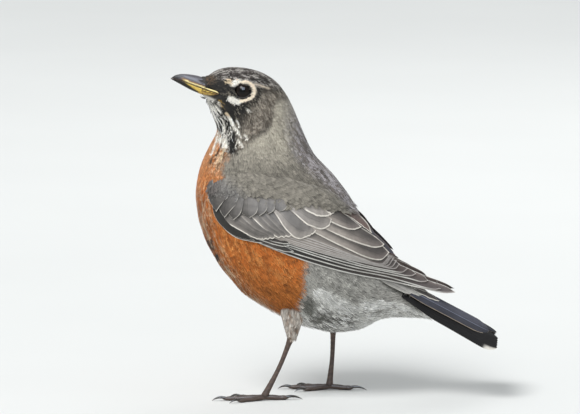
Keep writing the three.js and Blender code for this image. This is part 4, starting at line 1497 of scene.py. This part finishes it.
def wing(side):
    """The folded wing, from the long feathers below to the small ones at the bend."""
    sign = SIDES[side]
    outside = wing_chart(side)
    rows = Chart(outside[..., None] * np.ones(3), False)

    def shape(along, across, height):
        if sign < 0:  # the right wing is folded a little lower, out of sight from the left
            across = across - 1.2 * ease(0, 14, across) * ease(30, 60, along)
        out = rows.at(rows.points, along - WING_START[0], across - WING_START[1])[..., 0]
        y, z = from_wing(along, across)
        return np.stack([sign * (out + height), y, z], -1)

    seed = LEFT_WING_SEED if sign > 0 else RIGHT_WING_SEED
    flight = Vanes(side, shape)
    for k, lower in enumerate(PRIMARIES):
        flight.add(
            lower, upper_edge(lower, 6.0), WING_BLACK, PRIMARY_TIP, PRIMARY_EDGE, 0.5, 0.18,
            fall=(0.4, 0.7, 0.5), low=-1.0 + 0.09 * k, high=-0.75 + 0.12 * k, tilt=0.6,
            arch=0.0, ragged=0.03, fade=0.75, lifted=1, seed=seed + k,
        )
    for k, lower in enumerate(between(SECONDARIES, np.linspace(0, 2, 6))):
        flight.add(
            lower, upper_edge(lower, 7.5), WING_BASE * 0.9, WING_DARK, SECONDARY_EDGE, 0.4, 0.3,
            fall=(0.45, 1.3, 0.55), low=-0.3 + 0.05 * k, high=0.1 + 0.06 * k, tilt=0.55,
            arch=0.0, ragged=0.05, fade=0.3, seed=seed + 20 + k,
        )
    for k, (lower, upper) in enumerate(INNERMOST):
        flight.add(
            lower, upper, WING_DARK, TAIL_SLATE, TERTIAL_BROWN, 0.3, 0.2, fall=(3, 6, 0.7),
            low=-0.3, high=-0.3 + 0.15 * k, tilt=0.3, arch=0.5, ragged=0.05, seed=seed + 30 + k,
        )
    for k, (lower, upper) in enumerate(TERTIALS):
        grey = (WING_BASE * 1.1, WING_DARK * 1.1, WING_EDGE, 0.55)
        brown = (TERTIAL_BROWN, TERTIAL_BROWN * 0.9, WING_EDGE, 0.3)
        flight.add(
            lower, upper, *(brown if k == 2 else grey), 0.4, fall=(1.3, 4.4, 0.34), low=0.25,
            high=0.75 + 0.14 * k, tilt=0.35, ragged=0.05, seed=seed + 40 + k,
        )
    names = [f"wing_{side}_{group}" for group in ("primaries", "secondaries", "tertials")]
    flight.piece(f"flight_feathers_{side}", WING_FEATHER, "flight_feathers", *names)

    coverts = Vanes(side, shape)
    for k, lower in enumerate(PRIMARY_COVERTS):
        coverts.add(
            lower, upper_edge(lower, 3.4), WING_DARK * 0.7, WING_BLACK * 1.2, PRIMARY_EDGE, 0.35,
            0.25, fall=(0.6, 1.2, 0.7), low=-0.4, high=0.1 + 0.1 * k, seed=seed + 50 + k,
        )
    for k, lower in enumerate(between(GREATER_COVERTS, np.linspace(0, 4, 8))):
        edge = WING_EDGE * (1.25 if k == 0 else 1.12)
        coverts.add(
            lower, upper_edge(lower, 6.2, 1.6), WING_GREY, WING_GREY * 0.86, edge, 0.42, 0.25,
            fall=(0.8, 1.8, 0.5), low=-0.3, high=0.6, tilt=0.35, ragged=0.1, seed=seed + 70 + k,
        )
    for k, (lower, upper, tone) in enumerate(INNER_COVERTS):
        web = WING_GREY * tone
        coverts.add(
            lower, upper, web, web * 0.95, WING_EDGE * 1.08, 0.62, 0.3, fall=(2.2, 5.5, 0.52),
            low=0.1, high=0.95 + 0.1 * k, tilt=0.35, ragged=0.16, seed=seed + 85 + k,
        )
    for k, (lower, width) in enumerate(ALULA):
        web = WING_BLACK * 0.45
        coverts.add(
            lower, upper_edge(lower, width), web, web, WING_EDGE, 0.08 + 0.22 * k, 0.1,
            fall=(2, 4, 0.9), low=0.2, high=0.5 - 0.4 * k, tilt=0.2, ragged=0.02,
            seed=seed + 60 + k,
        )
    for k, (front, rear, tone) in enumerate(MEDIAN_COVERTS):
        # Each median's darker web is made darkest near its front edge, as painted shade under the pale rear
        # edge of the one before, and lightens towards its own rear edge.
        web, far = (WING_GREY * tone * part for part in (0.42, 0.36))
        coverts.add(
            front, rear, web, far, WING_EDGE * 0.85, 0.12, 0.36, fall=(1.6, 6.5, 1.75),
            low=0.3, high=1.3 - 0.03 * k, tilt=-0.4, ragged=0.08, seed=seed + 90 + k,
        )
    for k, (tip, tone) in enumerate(LESSER_COVERTS):
        front, rear = outline(np.array(tip) + [-3.0, 6.5], tip, 4.6, blunt=0.75, share=0.5)
        # Painted shade as on the medians: dark near the front edge under the one before, lighter towards the
        # rear edge.
        web, far = (SHOULDER * tone * part for part in (0.5, 0.42))
        coverts.add(
            front, rear, web, far, WING_EDGE * 0.7, 0.1, 0.26, fall=(1.0, 4.0, 2.0), low=-0.5,
            high=0.85 + 0.03 * k, tilt=-0.3, arch=0.2, ragged=0.3, seed=seed + 110 + k,
        )
    coverts.piece(f"wing_coverts_{side}", WING_FEATHER, "wing_coverts", f"wing_{side}_coverts")


for side in SIDES:
    wing(side)

# ---------------------------------------------------------------- tail feathers

# Each covert over and under the tail's root: root and tip along and across the tail, and its
# width. For those above also the colours of the web and the edges.
UPPER_TAIL_COVERTS = [
    ((-16, -4.2), (5.0, -4.6), 7.0, RUMP * 0.95, RUMP * 1.25),
    ((-16, 0.0), (10.5, -0.6), 7.4, RUMP * 0.9, RUMP * 1.3),
    ((-15, 5.0), (20.5, 3.4), 7.0, SCALE_DARK * 0.42, WHITE * 0.8),
    ((-15, 7.0), (13.0, 6.4), 6.0, SCALE_DARK * 0.7, RUMP * 1.2),
]
UNDER_TAIL_COVERTS = [
    ((-14, -15.5), (15.5, -8.8), 7.0),
    ((-16, -13.0), (8.5, -9.6), 8.0),
    ((-18, -16.5), (4.5, -11.6), 8.0),
]


def tail(side):
    """Half of the tail: six feathers, the middle one on top and the outermost lowest, and the
    coverts over and under its root."""
    sign = SIDES[side]
    cos, sin = np.cos(TAIL_SLOPE), np.sin(TAIL_SLOPE)

    def turned_down(x, y, z):
        """Turns a place on the tail's own axes into one on the drawing's."""
        places = [sign * x, TAIL_TIP[0] + y * cos - z * sin, TAIL_TIP[1] + y * sin + z * cos]
        return np.stack(places, -1)

    def feather(k):
        """Turns along, across and height of the k-th feather into a place."""
        roll = np.radians(18 + 2 * k)
        splay = np.radians(0.8 * k)
        out, down = 7.4 + 0.9 * k, 2.6 + 0.7 * k
        if k == 0 and sign < 0:  # the right one slips under the left one in the middle
            out, down = 6.4, 3.1

        def shape(along, across, height):
            x = height * np.sin(roll) - across * np.cos(roll)
            z = height * np.cos(roll) + across * np.sin(roll)
            y = along * np.cos(splay) - x * np.sin(splay)
            x = x * np.cos(splay) + along * np.sin(splay)
            return turned_down(x + out, y - TAIL_LENGTH, z - down)

        return shape

    def below(along, across, height):
        """Turns places on an upright blade under the tail's root into the drawing's."""
        return turned_down(6.6 + height + 0.12 * (across + 14), along - TAIL_LENGTH, across)

    vanes = Vanes(side, None)
    for k in reversed(range(6)):
        vanes.shape = feather(k)
        length = TAIL_LENGTH - 0.25 * k - (5.5 if k == 0 and sign > 0 else 0)
        if k == 0:
            root, width, share = (-8, 0), 15.2, 0.5
            # Painted sheen: the top feather's web turns lighter above its shaft (deep above 1), and its shaft
            # takes the painted highlight.
            base, edge, shaft, rim, deep = TAIL_SLATE, TAIL_BROWN, TAIL_SHAFT_HIGHLIGHT, 0.3, 1.75
        else:
            root, width, share = (1.5, 1.3), 9.6, 0.72
            # The outer feathers take painted shade: near black, as if shaded by the middle feathers over
            # them.
            base, edge, shaft, rim, deep = SHADED_TAIL_BLACK, SHADED_TAIL_BLACK * 1.4, SHADED_TAIL_BLACK, 0.1, 1.0
        end = (length + 0.55 * k, -0.3 * k)
        vanes.add(
            *outline(root, end, width, blunt=0.16, share=share), base, base, edge, rim, 0.12,
            fall=(6.0, 7.4, deep), low=0.6, high=0.6, tilt=0.1, ragged=0.03, shaft=shaft,
            tip=WHITE * 0.8 if k == 5 else None, seed=TAIL_SEED + k,
        )
    vanes.piece(f"tail_feathers_{side}", TAIL_FEATHER, "tail_feathers", f"tail_{side}")

    coverts = Vanes(side, feather(0))
    for k, (root, tip, width, web, edge) in enumerate(UPPER_TAIL_COVERTS):
        coverts.add(
            *outline(root, tip, width, blunt=0.3, share=0.5), web, web * 0.95, edge, 0.5, 0.4,
            fall=(1.5, 3.0, 0.8), low=0.6, high=0.95 + 0.12 * k, ragged=0.16, seed=TAIL_SEED + 40 + k,
        )
    coverts.shape = below
    for k, (root, tip, width) in enumerate(UNDER_TAIL_COVERTS):
        coverts.add(
            *outline(root, tip, width, blunt=0.5, share=0.5), BELLY_WHITE * 0.9, BELLY_WHITE,
            BELLY_WHITE, 0.4, 0.4, fall=(1.5, 3.0, 0.85), low=-0.6, high=0.2 * k, ragged=0.2,
            seed=TAIL_SEED + 60 + k,
        )
    coverts.piece(f"tail_coverts_{side}", SOFT_FEATHER, "vent_plumage")


for side in SIDES:
    tail(side)

# ---------------------------------------------------------------- eyes

# Each ring of the eye's rim: how far out from the opening, how high, and how dark.
LID_RINGS = [
    (-0.1, -0.25, 0.4),
    (-0.1, 0.08, 0.5),
    (0.08, 0.24, 0.9),
    (0.3, 0.28, 1.1),
    (0.55, 0.15, 0.9),
    (0.8, -0.1, 0.7),
    (1.2, -0.7, 0.6),
]


def eye_frame(side):
    """An eye's centre and the directions out of it, towards the nape and upwards."""
    sign = SIDES[side]
    axis = unit(EYE_AXIS * [sign, 1, 1])
    up = unit(np.array([0, 0, 1.0]) - axis * axis[2])
    rear = np.cross(up, axis) * sign
    return EYE * [sign, 1, 1], axis, rear * np.sign(rear[1]), up


def eyeball(side):
    """A dark brown eye, with its pupil and iris painted round the axis."""
    centre, axis, rear, up = eye_frame(side)
    polar = np.linspace(0.02, 1.9, EYE_GRID[0])[:, None, None]
    turn = circle(EYE_GRID[1])[:, None]
    across = np.sin(polar) * (rear * np.cos(turn) + up * np.sin(turn))
    points = centre + EYE_RADIUS * (across + np.cos(polar) * axis)
    reach = EYE_RADIUS * np.sin(polar[..., 0]) + 0 * turn[:, 0]
    reach = np.where(polar[..., 0] > 1.5, EYE_RADIUS, reach)
    spokes = 0.85 + 0.15 * np.sin(turn[:, 0] * 23) * np.sin(turn[:, 0] * 9 + 1)
    colour = np.broadcast_to(rgb(7, 6, 6), points.shape)
    iris = rgb(24, 16, 11) * spokes[:, None]
    colour = over(colour, ease(1.7, 1.9, reach) * (1 - ease(3.1, 3.5, reach)), iris)
    faces = outward(grid_faces(*EYE_GRID, True), side)
    mesh = mesh_of(f"eye_{side}", points.reshape(-1, 3), faces, colour.reshape(-1, 3))
    piece_of(f"eyeball_{side}", mesh, EYE_GLOSS, "eye", f"eye_{side}")


def lids(side):
    """The bare rim of the eye, drawn to a corner before and behind."""
    centre, axis, rear, up = eye_frame(side)
    turn = circle(LID_COLUMNS)
    corner = 1 + 0.16 * np.abs(np.cos(turn)) ** 8
    flat_rear = LID[0] * np.cos(turn) * corner
    flat_up = LID[1] * np.sin(turn)
    height = np.sqrt(np.maximum(EYE_RADIUS**2 - flat_rear**2 - flat_up**2, 1.0))
    points = []
    colours = []
    for out, rise, tone in LID_RINGS:
        scale = 1 + out / np.hypot(flat_rear, flat_up)
        bead = 0.05 * np.sin(turn * 34) * (out > 0)
        ring_rear, ring_up = (flat_rear * scale)[:, None], (flat_up * scale)[:, None]
        at = centre + ring_rear * rear + ring_up * up
        points.append(at + (height + rise + bead)[:, None] * axis)
        colours.append(np.broadcast_to(LID_GREY * tone, at.shape))
    points, colours = np.concatenate(points), np.concatenate(colours)
    faces = outward(grid_faces(len(LID_RINGS), len(turn), True)[:, ::-1], side)
    piece_of(f"lids_{side}", mesh_of(f"lids_{side}", points, faces, colours), SKIN, "eye")


def roots_at(chart, places, sign):
    """Rows and columns of the chart's points that are seen from the side at y, z places."""
    here = np.sign(chart.points[..., 0]) == sign
    rows, columns = [], []
    for y, z in places:
        away = np.hypot(chart.points[..., 1] - y, chart.points[..., 2] - z) + 99 * ~here
        row, column = np.unravel_index(np.argmin(away), away.shape)
        along, around = chart.along[row, column, 1:], chart.around[row, column, 1:]
        gap = np.array([y, z]) - chart.points[row, column, 1:]
        det = along[0] * around[1] - along[1] * around[0]
        rows.append(row + (gap[0] * around[1] - gap[1] * around[0]) / det)
        columns.append(column + (along[0] * gap[1] - along[1] * gap[0]) / det)
    return np.array(rows), np.array(columns)


def eye_ring(side, rng):
    """White tufts of the broken ring round the eye."""
    sign = SIDES[side]
    coat = Coat()
    for line, count, spread, colour in (
        (EYE_RING, 260, 0.5, RING_BUFF),
        (EYE_CRESCENT, 130, 1.0, WHITE),
    ):
        place = rng.random(count) * (len(line) - 1)
        places = through(line, place) + rng.normal(0, spread, (count, 2)) * 0.6
        row, column = roots_at(body, places, sign)
        away = unit(body.at(body.points, row, column) - EYE * [sign, 1, 1])
        flow = away + 0.7 * natural_flow(body, row, column)
        planted(
            {sign: coat}, body, HEAD_LEAF, row, column, rng, flow, length=1.15, width=0.2,
            depth=0.2, lift=0.32, thick=0.08, stray=0.15, colour=colour,
        )
    coat.piece(f"eye_ring_{side}", HEAD_FEATHER, "head_plumage")


# ---------------------------------------------------------------- bill


def face_out(points):
    """How far the face's surface lies from the mid-plane at points, or 0 beyond it."""
    found = []
    for x, y, z in points:
        found.append(from_side(BODY_TREE, np.sign(x), y, z, FAR_OUT["face"]) or 0.0)
    return np.array(found)


def ridged(value, middle, half):
    """1 where a value is at its middle, falling off smoothly about half away."""
    return np.exp(-(((value - middle) / half) ** 2))


def mandible(name, upper):
    """One half of the bill, from the tip back to where the face's feathers cover it."""
    part = np.linspace(0, 1, BILL_GRID[0]) ** 1.3  # rows lie closer at the tip
    y = BILL_Y[0] + (BILL_Y[-1] - BILL_Y[0]) * part
    knots = np.interp(y, BILL_Y, np.arange(len(BILL_Y)))
    table = np.array([RIDGE_Z, MOUTH_Z, UNDER_Z, BILL_HALF]).T
    ridge, mouth, under, half = (column[:, None] for column in through(table, knots).T)
    turn = circle(BILL_GRID[1])[None, :]
    edge = mouth + (0.06 if upper else -0.1)
    far = ridge if upper else under
    half = np.maximum(half, 0.06) * (1.0 if upper else 0.92)
    rise = np.maximum(np.sin(turn), 0) ** (0.85 if upper else 0.75)
    x = half * np.cos(turn) * (1 - 0.12 * rise)
    z = edge + (far - edge) * rise + np.minimum(np.sin(turn), 0) * (-0.25 if upper else 0.25)
    y = y[:, None] + 0 * turn
    slit = 0 * z
    if upper:
        slit = np.exp(-(((y + 69.3) / 1.3) ** 2) - ((z - 165.2 + 0.4 * (y + 69.4)) / 0.4) ** 2)
        hollow = np.exp(-(((y + 68.8) / 2.6) ** 2) - ((z - 165.4 + 0.4 * (y + 69)) / 1.1) ** 2)
        x = x - np.sign(x) * (0.6 * slit + 0.25 * hollow) * (np.sin(turn) > 0)
    points = np.stack([x, y, z], -1)

    up = np.abs(z - edge)
    along = y - BILL_Y[0]
    grain = 0.25 * ripple(points, 1.1)
    share = up / np.maximum(np.abs(far - edge), 0.1)
    marks = Marks(points, BILL_SLATE if upper else BILL_GOLD)
    if upper:
        marks.put(ridged(share, 0.86, 0.07) * ease(4, 8, along) * 0.35, BILL_BLACK)
        marks.put((1 - ease(2.5, 8, along)) * 0.9, BILL_BLACK)
        marks.put(ridged(up, 2.0, 0.35) * ease(3, 6, along) * 0.7, BILL_BLACK)
        stripe = (1 - ease(1.3, 1.9, up + grain)) * ease(4.5, 8, along)
        marks.put(stripe * 0.9, BILL_BROWN)
        cream = (1 - ease(0.85, 1.15, up + grain)) * ease(5.5, 9, along)
        marks.put(cream, GAPE_CREAM)
        marks.put((1 - ease(0.12, 0.3, up)) * 0.8, GAPE_BROWN)
        marks.put(np.clip(slit * 1.6 - 0.1, 0, 1), BILL_BLACK)
    else:
        marks.put(ease(0.4, 0.8, share + 0.5 * grain) * 0.85, BILL_BROWN)
        veins = ridged(share - 0.4 * grain, 0.3, 0.06)
        marks.put(veins * ease(9, 12, along) * 0.6, BILL_BROWN)
        marks.put(1 - ease(5.0, 9.0, along - 10.0 * share + 3 * grain), BILL_BLACK)
        marks.put((1 - ease(0.04, 0.16, share)) * 0.8, GAPE_BROWN)
        marks.put(ease(15.5, 18.5, along) * 0.55, GAPE_OLIVE)
    faces = grid_faces(*BILL_GRID, True)
    faces = faces[:, ::-1] if upper else faces
    mesh = mesh_of(name, points.reshape(-1, 3), faces, marks.colour.reshape(-1, 3))
    piece_of(f"{name}_horn", mesh, BILL, name, name)


GAPE_LINE = [
    (-70.4, 162.1), (-68.0, 161.4), (-65.7, 160.9), (-63.6, 160.5), (-61.8, 160.1), (-60.4, 159.6),
]


def gape(side):
    """The soft corner of the mouth, laid on the face behind the bill: a cream edge above,
    the dark mouth, and the mottled gold and olive root of the lower bill."""
    sign = SIDES[side]
    part = np.linspace(0, len(GAPE_LINE) - 1, GAPE_GRID[0])
    middle = through(GAPE_LINE, part)
    ahead = unit(np.gradient(middle, axis=0))
    across = np.stack([-ahead[:, 1], ahead[:, 0]], -1)
    reach = np.linspace(-3.4, 1.15, GAPE_GRID[1])
    narrow = np.interp(part, [0, 0.6, 4, 5], [0.9, 1.0, 0.8, 0.2])[:, None]
    lower_part = np.interp(part, [0, 1.5, 3, 5], [1.0, 0.95, 0.7, 0.4])[:, None]
    spread = reach * narrow * np.where(reach < 0, lower_part, 1)
    place = middle[:, None] + across[:, None] * spread[..., None]
    flat = np.concatenate([np.full(place.shape[:2] + (1,), float(sign)), place], -1)
    x = np.maximum(face_out(flat.reshape(-1, 3)).reshape(flat.shape[:2]), 2.2)
    x = softened(x, 2, False)
    mottle = ripple(flat, 0.55)
    top_fold = ridged(reach, 0.6, 0.45) + 0.6 * ridged(reach, -2.4, 0.5)
    groove = ridged(reach, -0.05, 0.25)
    edge = ease(-3.4, -2.9, reach) * (1 - ease(0.95, 1.15, reach))
    bulge = 0.3 * top_fold - 0.25 * groove + 0.12 * mottle + 0.22
    bulge = bulge * np.interp(part, [0, 0.7, 4.4, 5], [0, 1, 1, 0])[:, None]
    flat[..., 0] = sign * (x - 0.3 + (bulge + 0.18) * edge)
    marks = Marks(flat, GAPE_BROWN)
    gold = ease(-1.5, -1.0, reach) * (1 - ease(-0.6, -0.3, reach))
    gold = gold + 0.9 * (1 - ease(-2.2, -1.7, reach))
    marks.put(np.clip(gold * (0.75 + 0.9 * mottle), 0, 1), BILL_GOLD * 0.75)
    marks.put(np.clip((reach < -1.6) * (0.6 + 0.6 * mottle), 0, 1), GAPE_OLIVE)
    cream = ease(0.1, 0.35, reach) * (1 - ease(0.95, 1.1, reach))
    marks.put(cream[None], GAPE_CREAM)
    corner = ease(2.2, 4.2, part)[:, None] * np.where(reach < 0.05, 1.0, 0.0)
    marks.put(corner * (0.65 + 0.7 * mottle).clip(0, 1), GAPE_BROWN)
    marks.put(ease(4.2, 5, part)[:, None] * 0.8, GAPE_BROWN)
    faces = outward(grid_faces(*GAPE_GRID)[:, ::-1], side)
    mesh = mesh_of(f"gape_{side}", flat.reshape(-1, 3), faces, marks.colour.reshape(-1, 3))
    piece_of(f"gape_{side}", mesh, BILL, "bill_upper")


def bristles(side, rng):
    """Stiff black bristles at the corner of the mouth and on the chin."""
    sign = SIDES[side]
    coat = Coat()
    starts = [
        # the line they grow from, how many, length, and which way they point
        ([(-67.5, 163.6), (-64.2, 162.2), (-61.0, 161.0)], 16, 3.6, (0.12, -1.0, -0.35)),
        ([(-60.2, 157.4), (-62.5, 156.0), (-65.0, 155.6)], 16, 3.6, (0.15, -0.8, -0.75)),
        ([(-68.0, 156.8), (-66.8, 154.2), (-65.4, 150.5)], 26, 3.2, (0.05, -0.8, -0.75)),
    ]
    for line, count, length, toward in starts:
        place = rng.random(count) * (len(line) - 1)
        row, column = roots_at(body, through(line, place) + rng.normal(0, 0.3, (count, 2)), sign)
        planted(
            {sign: coat}, body, BARB, row, column, rng, np.multiply(toward, [sign, 1, 1]),
            length=length, width=0.12, depth=0.1, lift=0.9, thick=0.1, stray=0.16, sway=0.12,
            colour=BLACK,
        )
    coat.piece(f"bristles_{side}", HEAD_FEATHER, "head_plumage")


points = body.points.reshape(-1, 3)
BODY_TREE = BVHTree.FromPolygons(
    [Vector(p) for p in points], grid_faces(body.rows, body.columns, True).tolist()
)
rng = np.random.default_rng(FACE_SEED)
for side in SIDES:
    eyeball(side)
    lids(side)
    eye_ring(side, rng)
    gape(side)
    bristles(side, rng)
mandible("bill_upper", True)
mandible("bill_lower", False)

# ---------------------------------------------------------------- legs and feet


def joined(name, tubes, colour_of, material, slot, *nodes):
    """Several closed tubes in one piece, coloured by colour_of(points)."""
    whole = Batch()
    for part in tubes:
        points, faces = capped(part)
        whole.add(points, faces, colour_of(points))
    whole.piece(name, material, slot, *nodes)


def scaled_colour(points):
    """Brown scales, darker towards the toes, with pale skin between them."""
    z = points[:, 2]
    bands = ease(0.55, 1.0, np.abs(np.sin(z * 1.15 + 0.4 * np.sin(points[:, 1]))))
    colour = LEG_BROWN * (0.85 + 0.15 * ripple(points, 2.2))[:, None]
    colour = over(colour, 0.35 * (1 - ease(2, 7, z)), CLAW_BLACK)
    return over(colour, 0.14 * bands, LEG_PALE)


def horn_colour(points):
    """The claws' black, a little uneven."""
    return CLAW_BLACK * (1 + 0.15 * ripple(points, 1.0))[:, None]


def foot(side):
    """One leg below its feathers: the shank, four toes with pads beneath, and claws."""
    x = SIDES[side] * LEG_APART
    ankle, ground = STEPS[side]

    def shields(part, ring):
        ahead = ease(0.2, 0.9, ring[..., 1:2] * -1)[..., 0]
        steps = (part * 13) % 1
        lap = 0.07 * (steps - 0.5) * ahead
        return lap + 0.25 * ridged(part, 0.04, 0.05) + 0.12 * ridged(part, 0.97, 0.05)

    shank = [
        [x, ankle, ANKLE_HEIGHT + 1.5],
        [x, ankle * 0.52 + ground * 0.48 + 0.5, 18],
        [x, ground, FOOT_HEIGHT],
    ]
    tubes = [tube(shank, [1.9, 1.35, 1.2, 1.2, 1.45, 1.75], SHANK_GRID, shields)]
    claws = []
    for turn, length, girth, claw in TOES.values():
        way = np.radians(turn * SIDES[side])
        sole = girth * 0.92

        def line(*knots):
            """Places so far ahead of the foot's middle, each at its height over the floor."""
            return [
                [x - np.sin(way) * far, ground - np.cos(way) * far, height] for far, height in knots
            ]

        def scales(part, ring):
            upper = ease(0.0, 0.7, ring[..., 2])
            steps = (part * length / 1.25) % 1
            pads = np.abs(np.sin(part * np.pi * 3)) * ease(0.0, 0.8, -ring[..., 2])
            return 0.1 * (0.6 - steps) * upper + 0.1 * girth * pads

        toe = line(
            (-0.6, sole + 0.7), (length * 0.35, sole + 0.3), (length * 0.7, sole), (length, sole)
        )
        girths = np.array([1.1, 0.95, 0.98, 0.84, 0.9, 0.45]) * girth
        tubes.append(tube(toe, girths, TOE_GRID, scales))
        nail = line(
            (length - 1.3, sole + 0.25),
            (length + claw * 0.22, sole + 0.62),
            (length + claw * 0.62, sole + 0.15),
            (length + claw, 0.12),
        )
        claws.append(tube(nail, np.array([0.6, 0.52, 0.34, 0.05]) * girth, CLAW_GRID))
    toes, nails = ([f"{part}_{side}_{toe}" for toe in TOES] for part in ("toe", "claw"))
    joined(f"foot_{side}", tubes, scaled_colour, LEG, "leg_skin", f"shank_{side}", *toes)
    joined(f"claws_{side}", claws, horn_colour, HORN, "claw", *nails)


def thigh_feathers(side, rng):
    """Short loose feathers down the thigh."""
    sign = SIDES[side]
    chart = Chart(thigh_points(side, 0.0))
    low_enough = chart.points[..., 2] < 50
    for title, shape, spacing, size in (("leaf", BODY_LEAF, 1.1, 4.8), ("barb", BARB, 0.6, 3.6)):
        coat = Coat()
        row, column = scatter(chart, np.full(low_enough.shape, spacing), low_enough, rng)
        narrow = np.interp(row, [0, chart.rows], [1.0, 0.6])
        patches = ease(0, 0.6, ripple(chart.at(chart.points, row, column), 2.0))
        brown = (0.75 * rng.random(len(row)) ** 1.5 + 0.5 * patches).clip(0, 1)[:, None]
        planted(
            {sign: coat}, chart, shape, row, column, rng, natural_flow(chart, row, column),
            length=size * narrow, width=size * 0.17 * narrow if title == "leaf" else 0.12,
            depth=0.7, lift=0.35, thick=0.1, stray=0.15, sway=0.15, tone=0.2,
            colour=THIGH_GREY * (1 - brown) + THIGH_BROWN * brown,
        )
        coat.piece(f"thigh_{title}s_{side}", SOFT_FEATHER, "thigh_plumage")


for side in SIDES:
    foot(side)
    thigh_feathers(side, rng)

# ---------------------------------------------------------------- floor, light and camera


def stage():
    """A wide plain floor at the bird's feet."""
    mesh = bpy.data.meshes.new("floor")
    corners = [(-FLOOR, -FLOOR, 0), (FLOOR, -FLOOR, 0), (FLOOR, FLOOR, 0), (-FLOOR, FLOOR, 0)]
    mesh.from_pydata(corners, [], [(0, 1, 2, 3)])
    floor = placed("floor", mesh)
    made = Shader("pale_floor", Roughness=0.9, Specular_IOR_Level=0.1)
    place = made.node("ShaderNodeTexCoord", {}).outputs["Object"]
    tone = made.spread(made.noise(place, 3.0), 0.985, 1.015)
    made.colour(made.times((0.66, 0.67, 0.66), tone))
    mesh.materials.append(made.material)


def lamp(name, kind, place, aim, power, **settings):
    """A light at a place that shines towards aim."""
    light = bpy.data.lights.new(name, kind)
    light.energy = power
    for key, value in settings.items():
        setattr(light, key, value)
    made = placed(name, light)
    made.location = place
    made.rotation_euler = (Vector(aim) - Vector(place)).to_track_quat("-Z", "Y").to_euler()
    return made


FLOOR = 8.0  # half the floor's width, in metres
AIM = (0.0, -0.0235, 0.0992)  # where the camera and the lamps look, in metres
CAMERA_AWAY = 2.5  # how far from there the camera stands, in metres
CAMERA_HEIGHT = np.radians(8.0)  # how steeply it looks down
PICTURE_WIDTH = 0.3016  # what the picture takes in at the bird, in metres

stage()
lamp("key", "SUN", (0, 0, 0), (-0.55, 0.5, -1.0), 2.0, angle=np.radians(28))
lamp("fill", "AREA", (1.5, -0.7, 1.7), AIM, 16, size=1.1)
catch = lamp("catch", "AREA", (1.6, -0.05, 1.4), AIM, 62, size=1.2, color=(0.72, 0.84, 1.0))
catch.visible_diffuse = False
lamp("rim", "AREA", (-1.1, 0.5, 1.1), AIM, 5, size=0.9)
world = bpy.data.worlds.new("studio")
world.use_nodes = True
world.node_tree.nodes["Background"].inputs["Color"].default_value = (0.95, 0.98, 1.0, 1)
world.node_tree.nodes["Background"].inputs["Strength"].default_value = 0.6
bpy.context.scene.world = world

camera = bpy.data.cameras.new("camera")
camera.sensor_width = 36
camera.lens = camera.sensor_width * CAMERA_AWAY / PICTURE_WIDTH
viewer = placed("camera", camera)
away = Vector((np.cos(CAMERA_HEIGHT), 0, np.sin(CAMERA_HEIGHT)))
viewer.location = Vector(AIM) + away * CAMERA_AWAY
viewer.rotation_euler = (-away).to_track_quat("-Z", "Y").to_euler()
bpy.context.scene.camera = viewer
bpy.context.scene.view_settings.view_transform = "Standard"
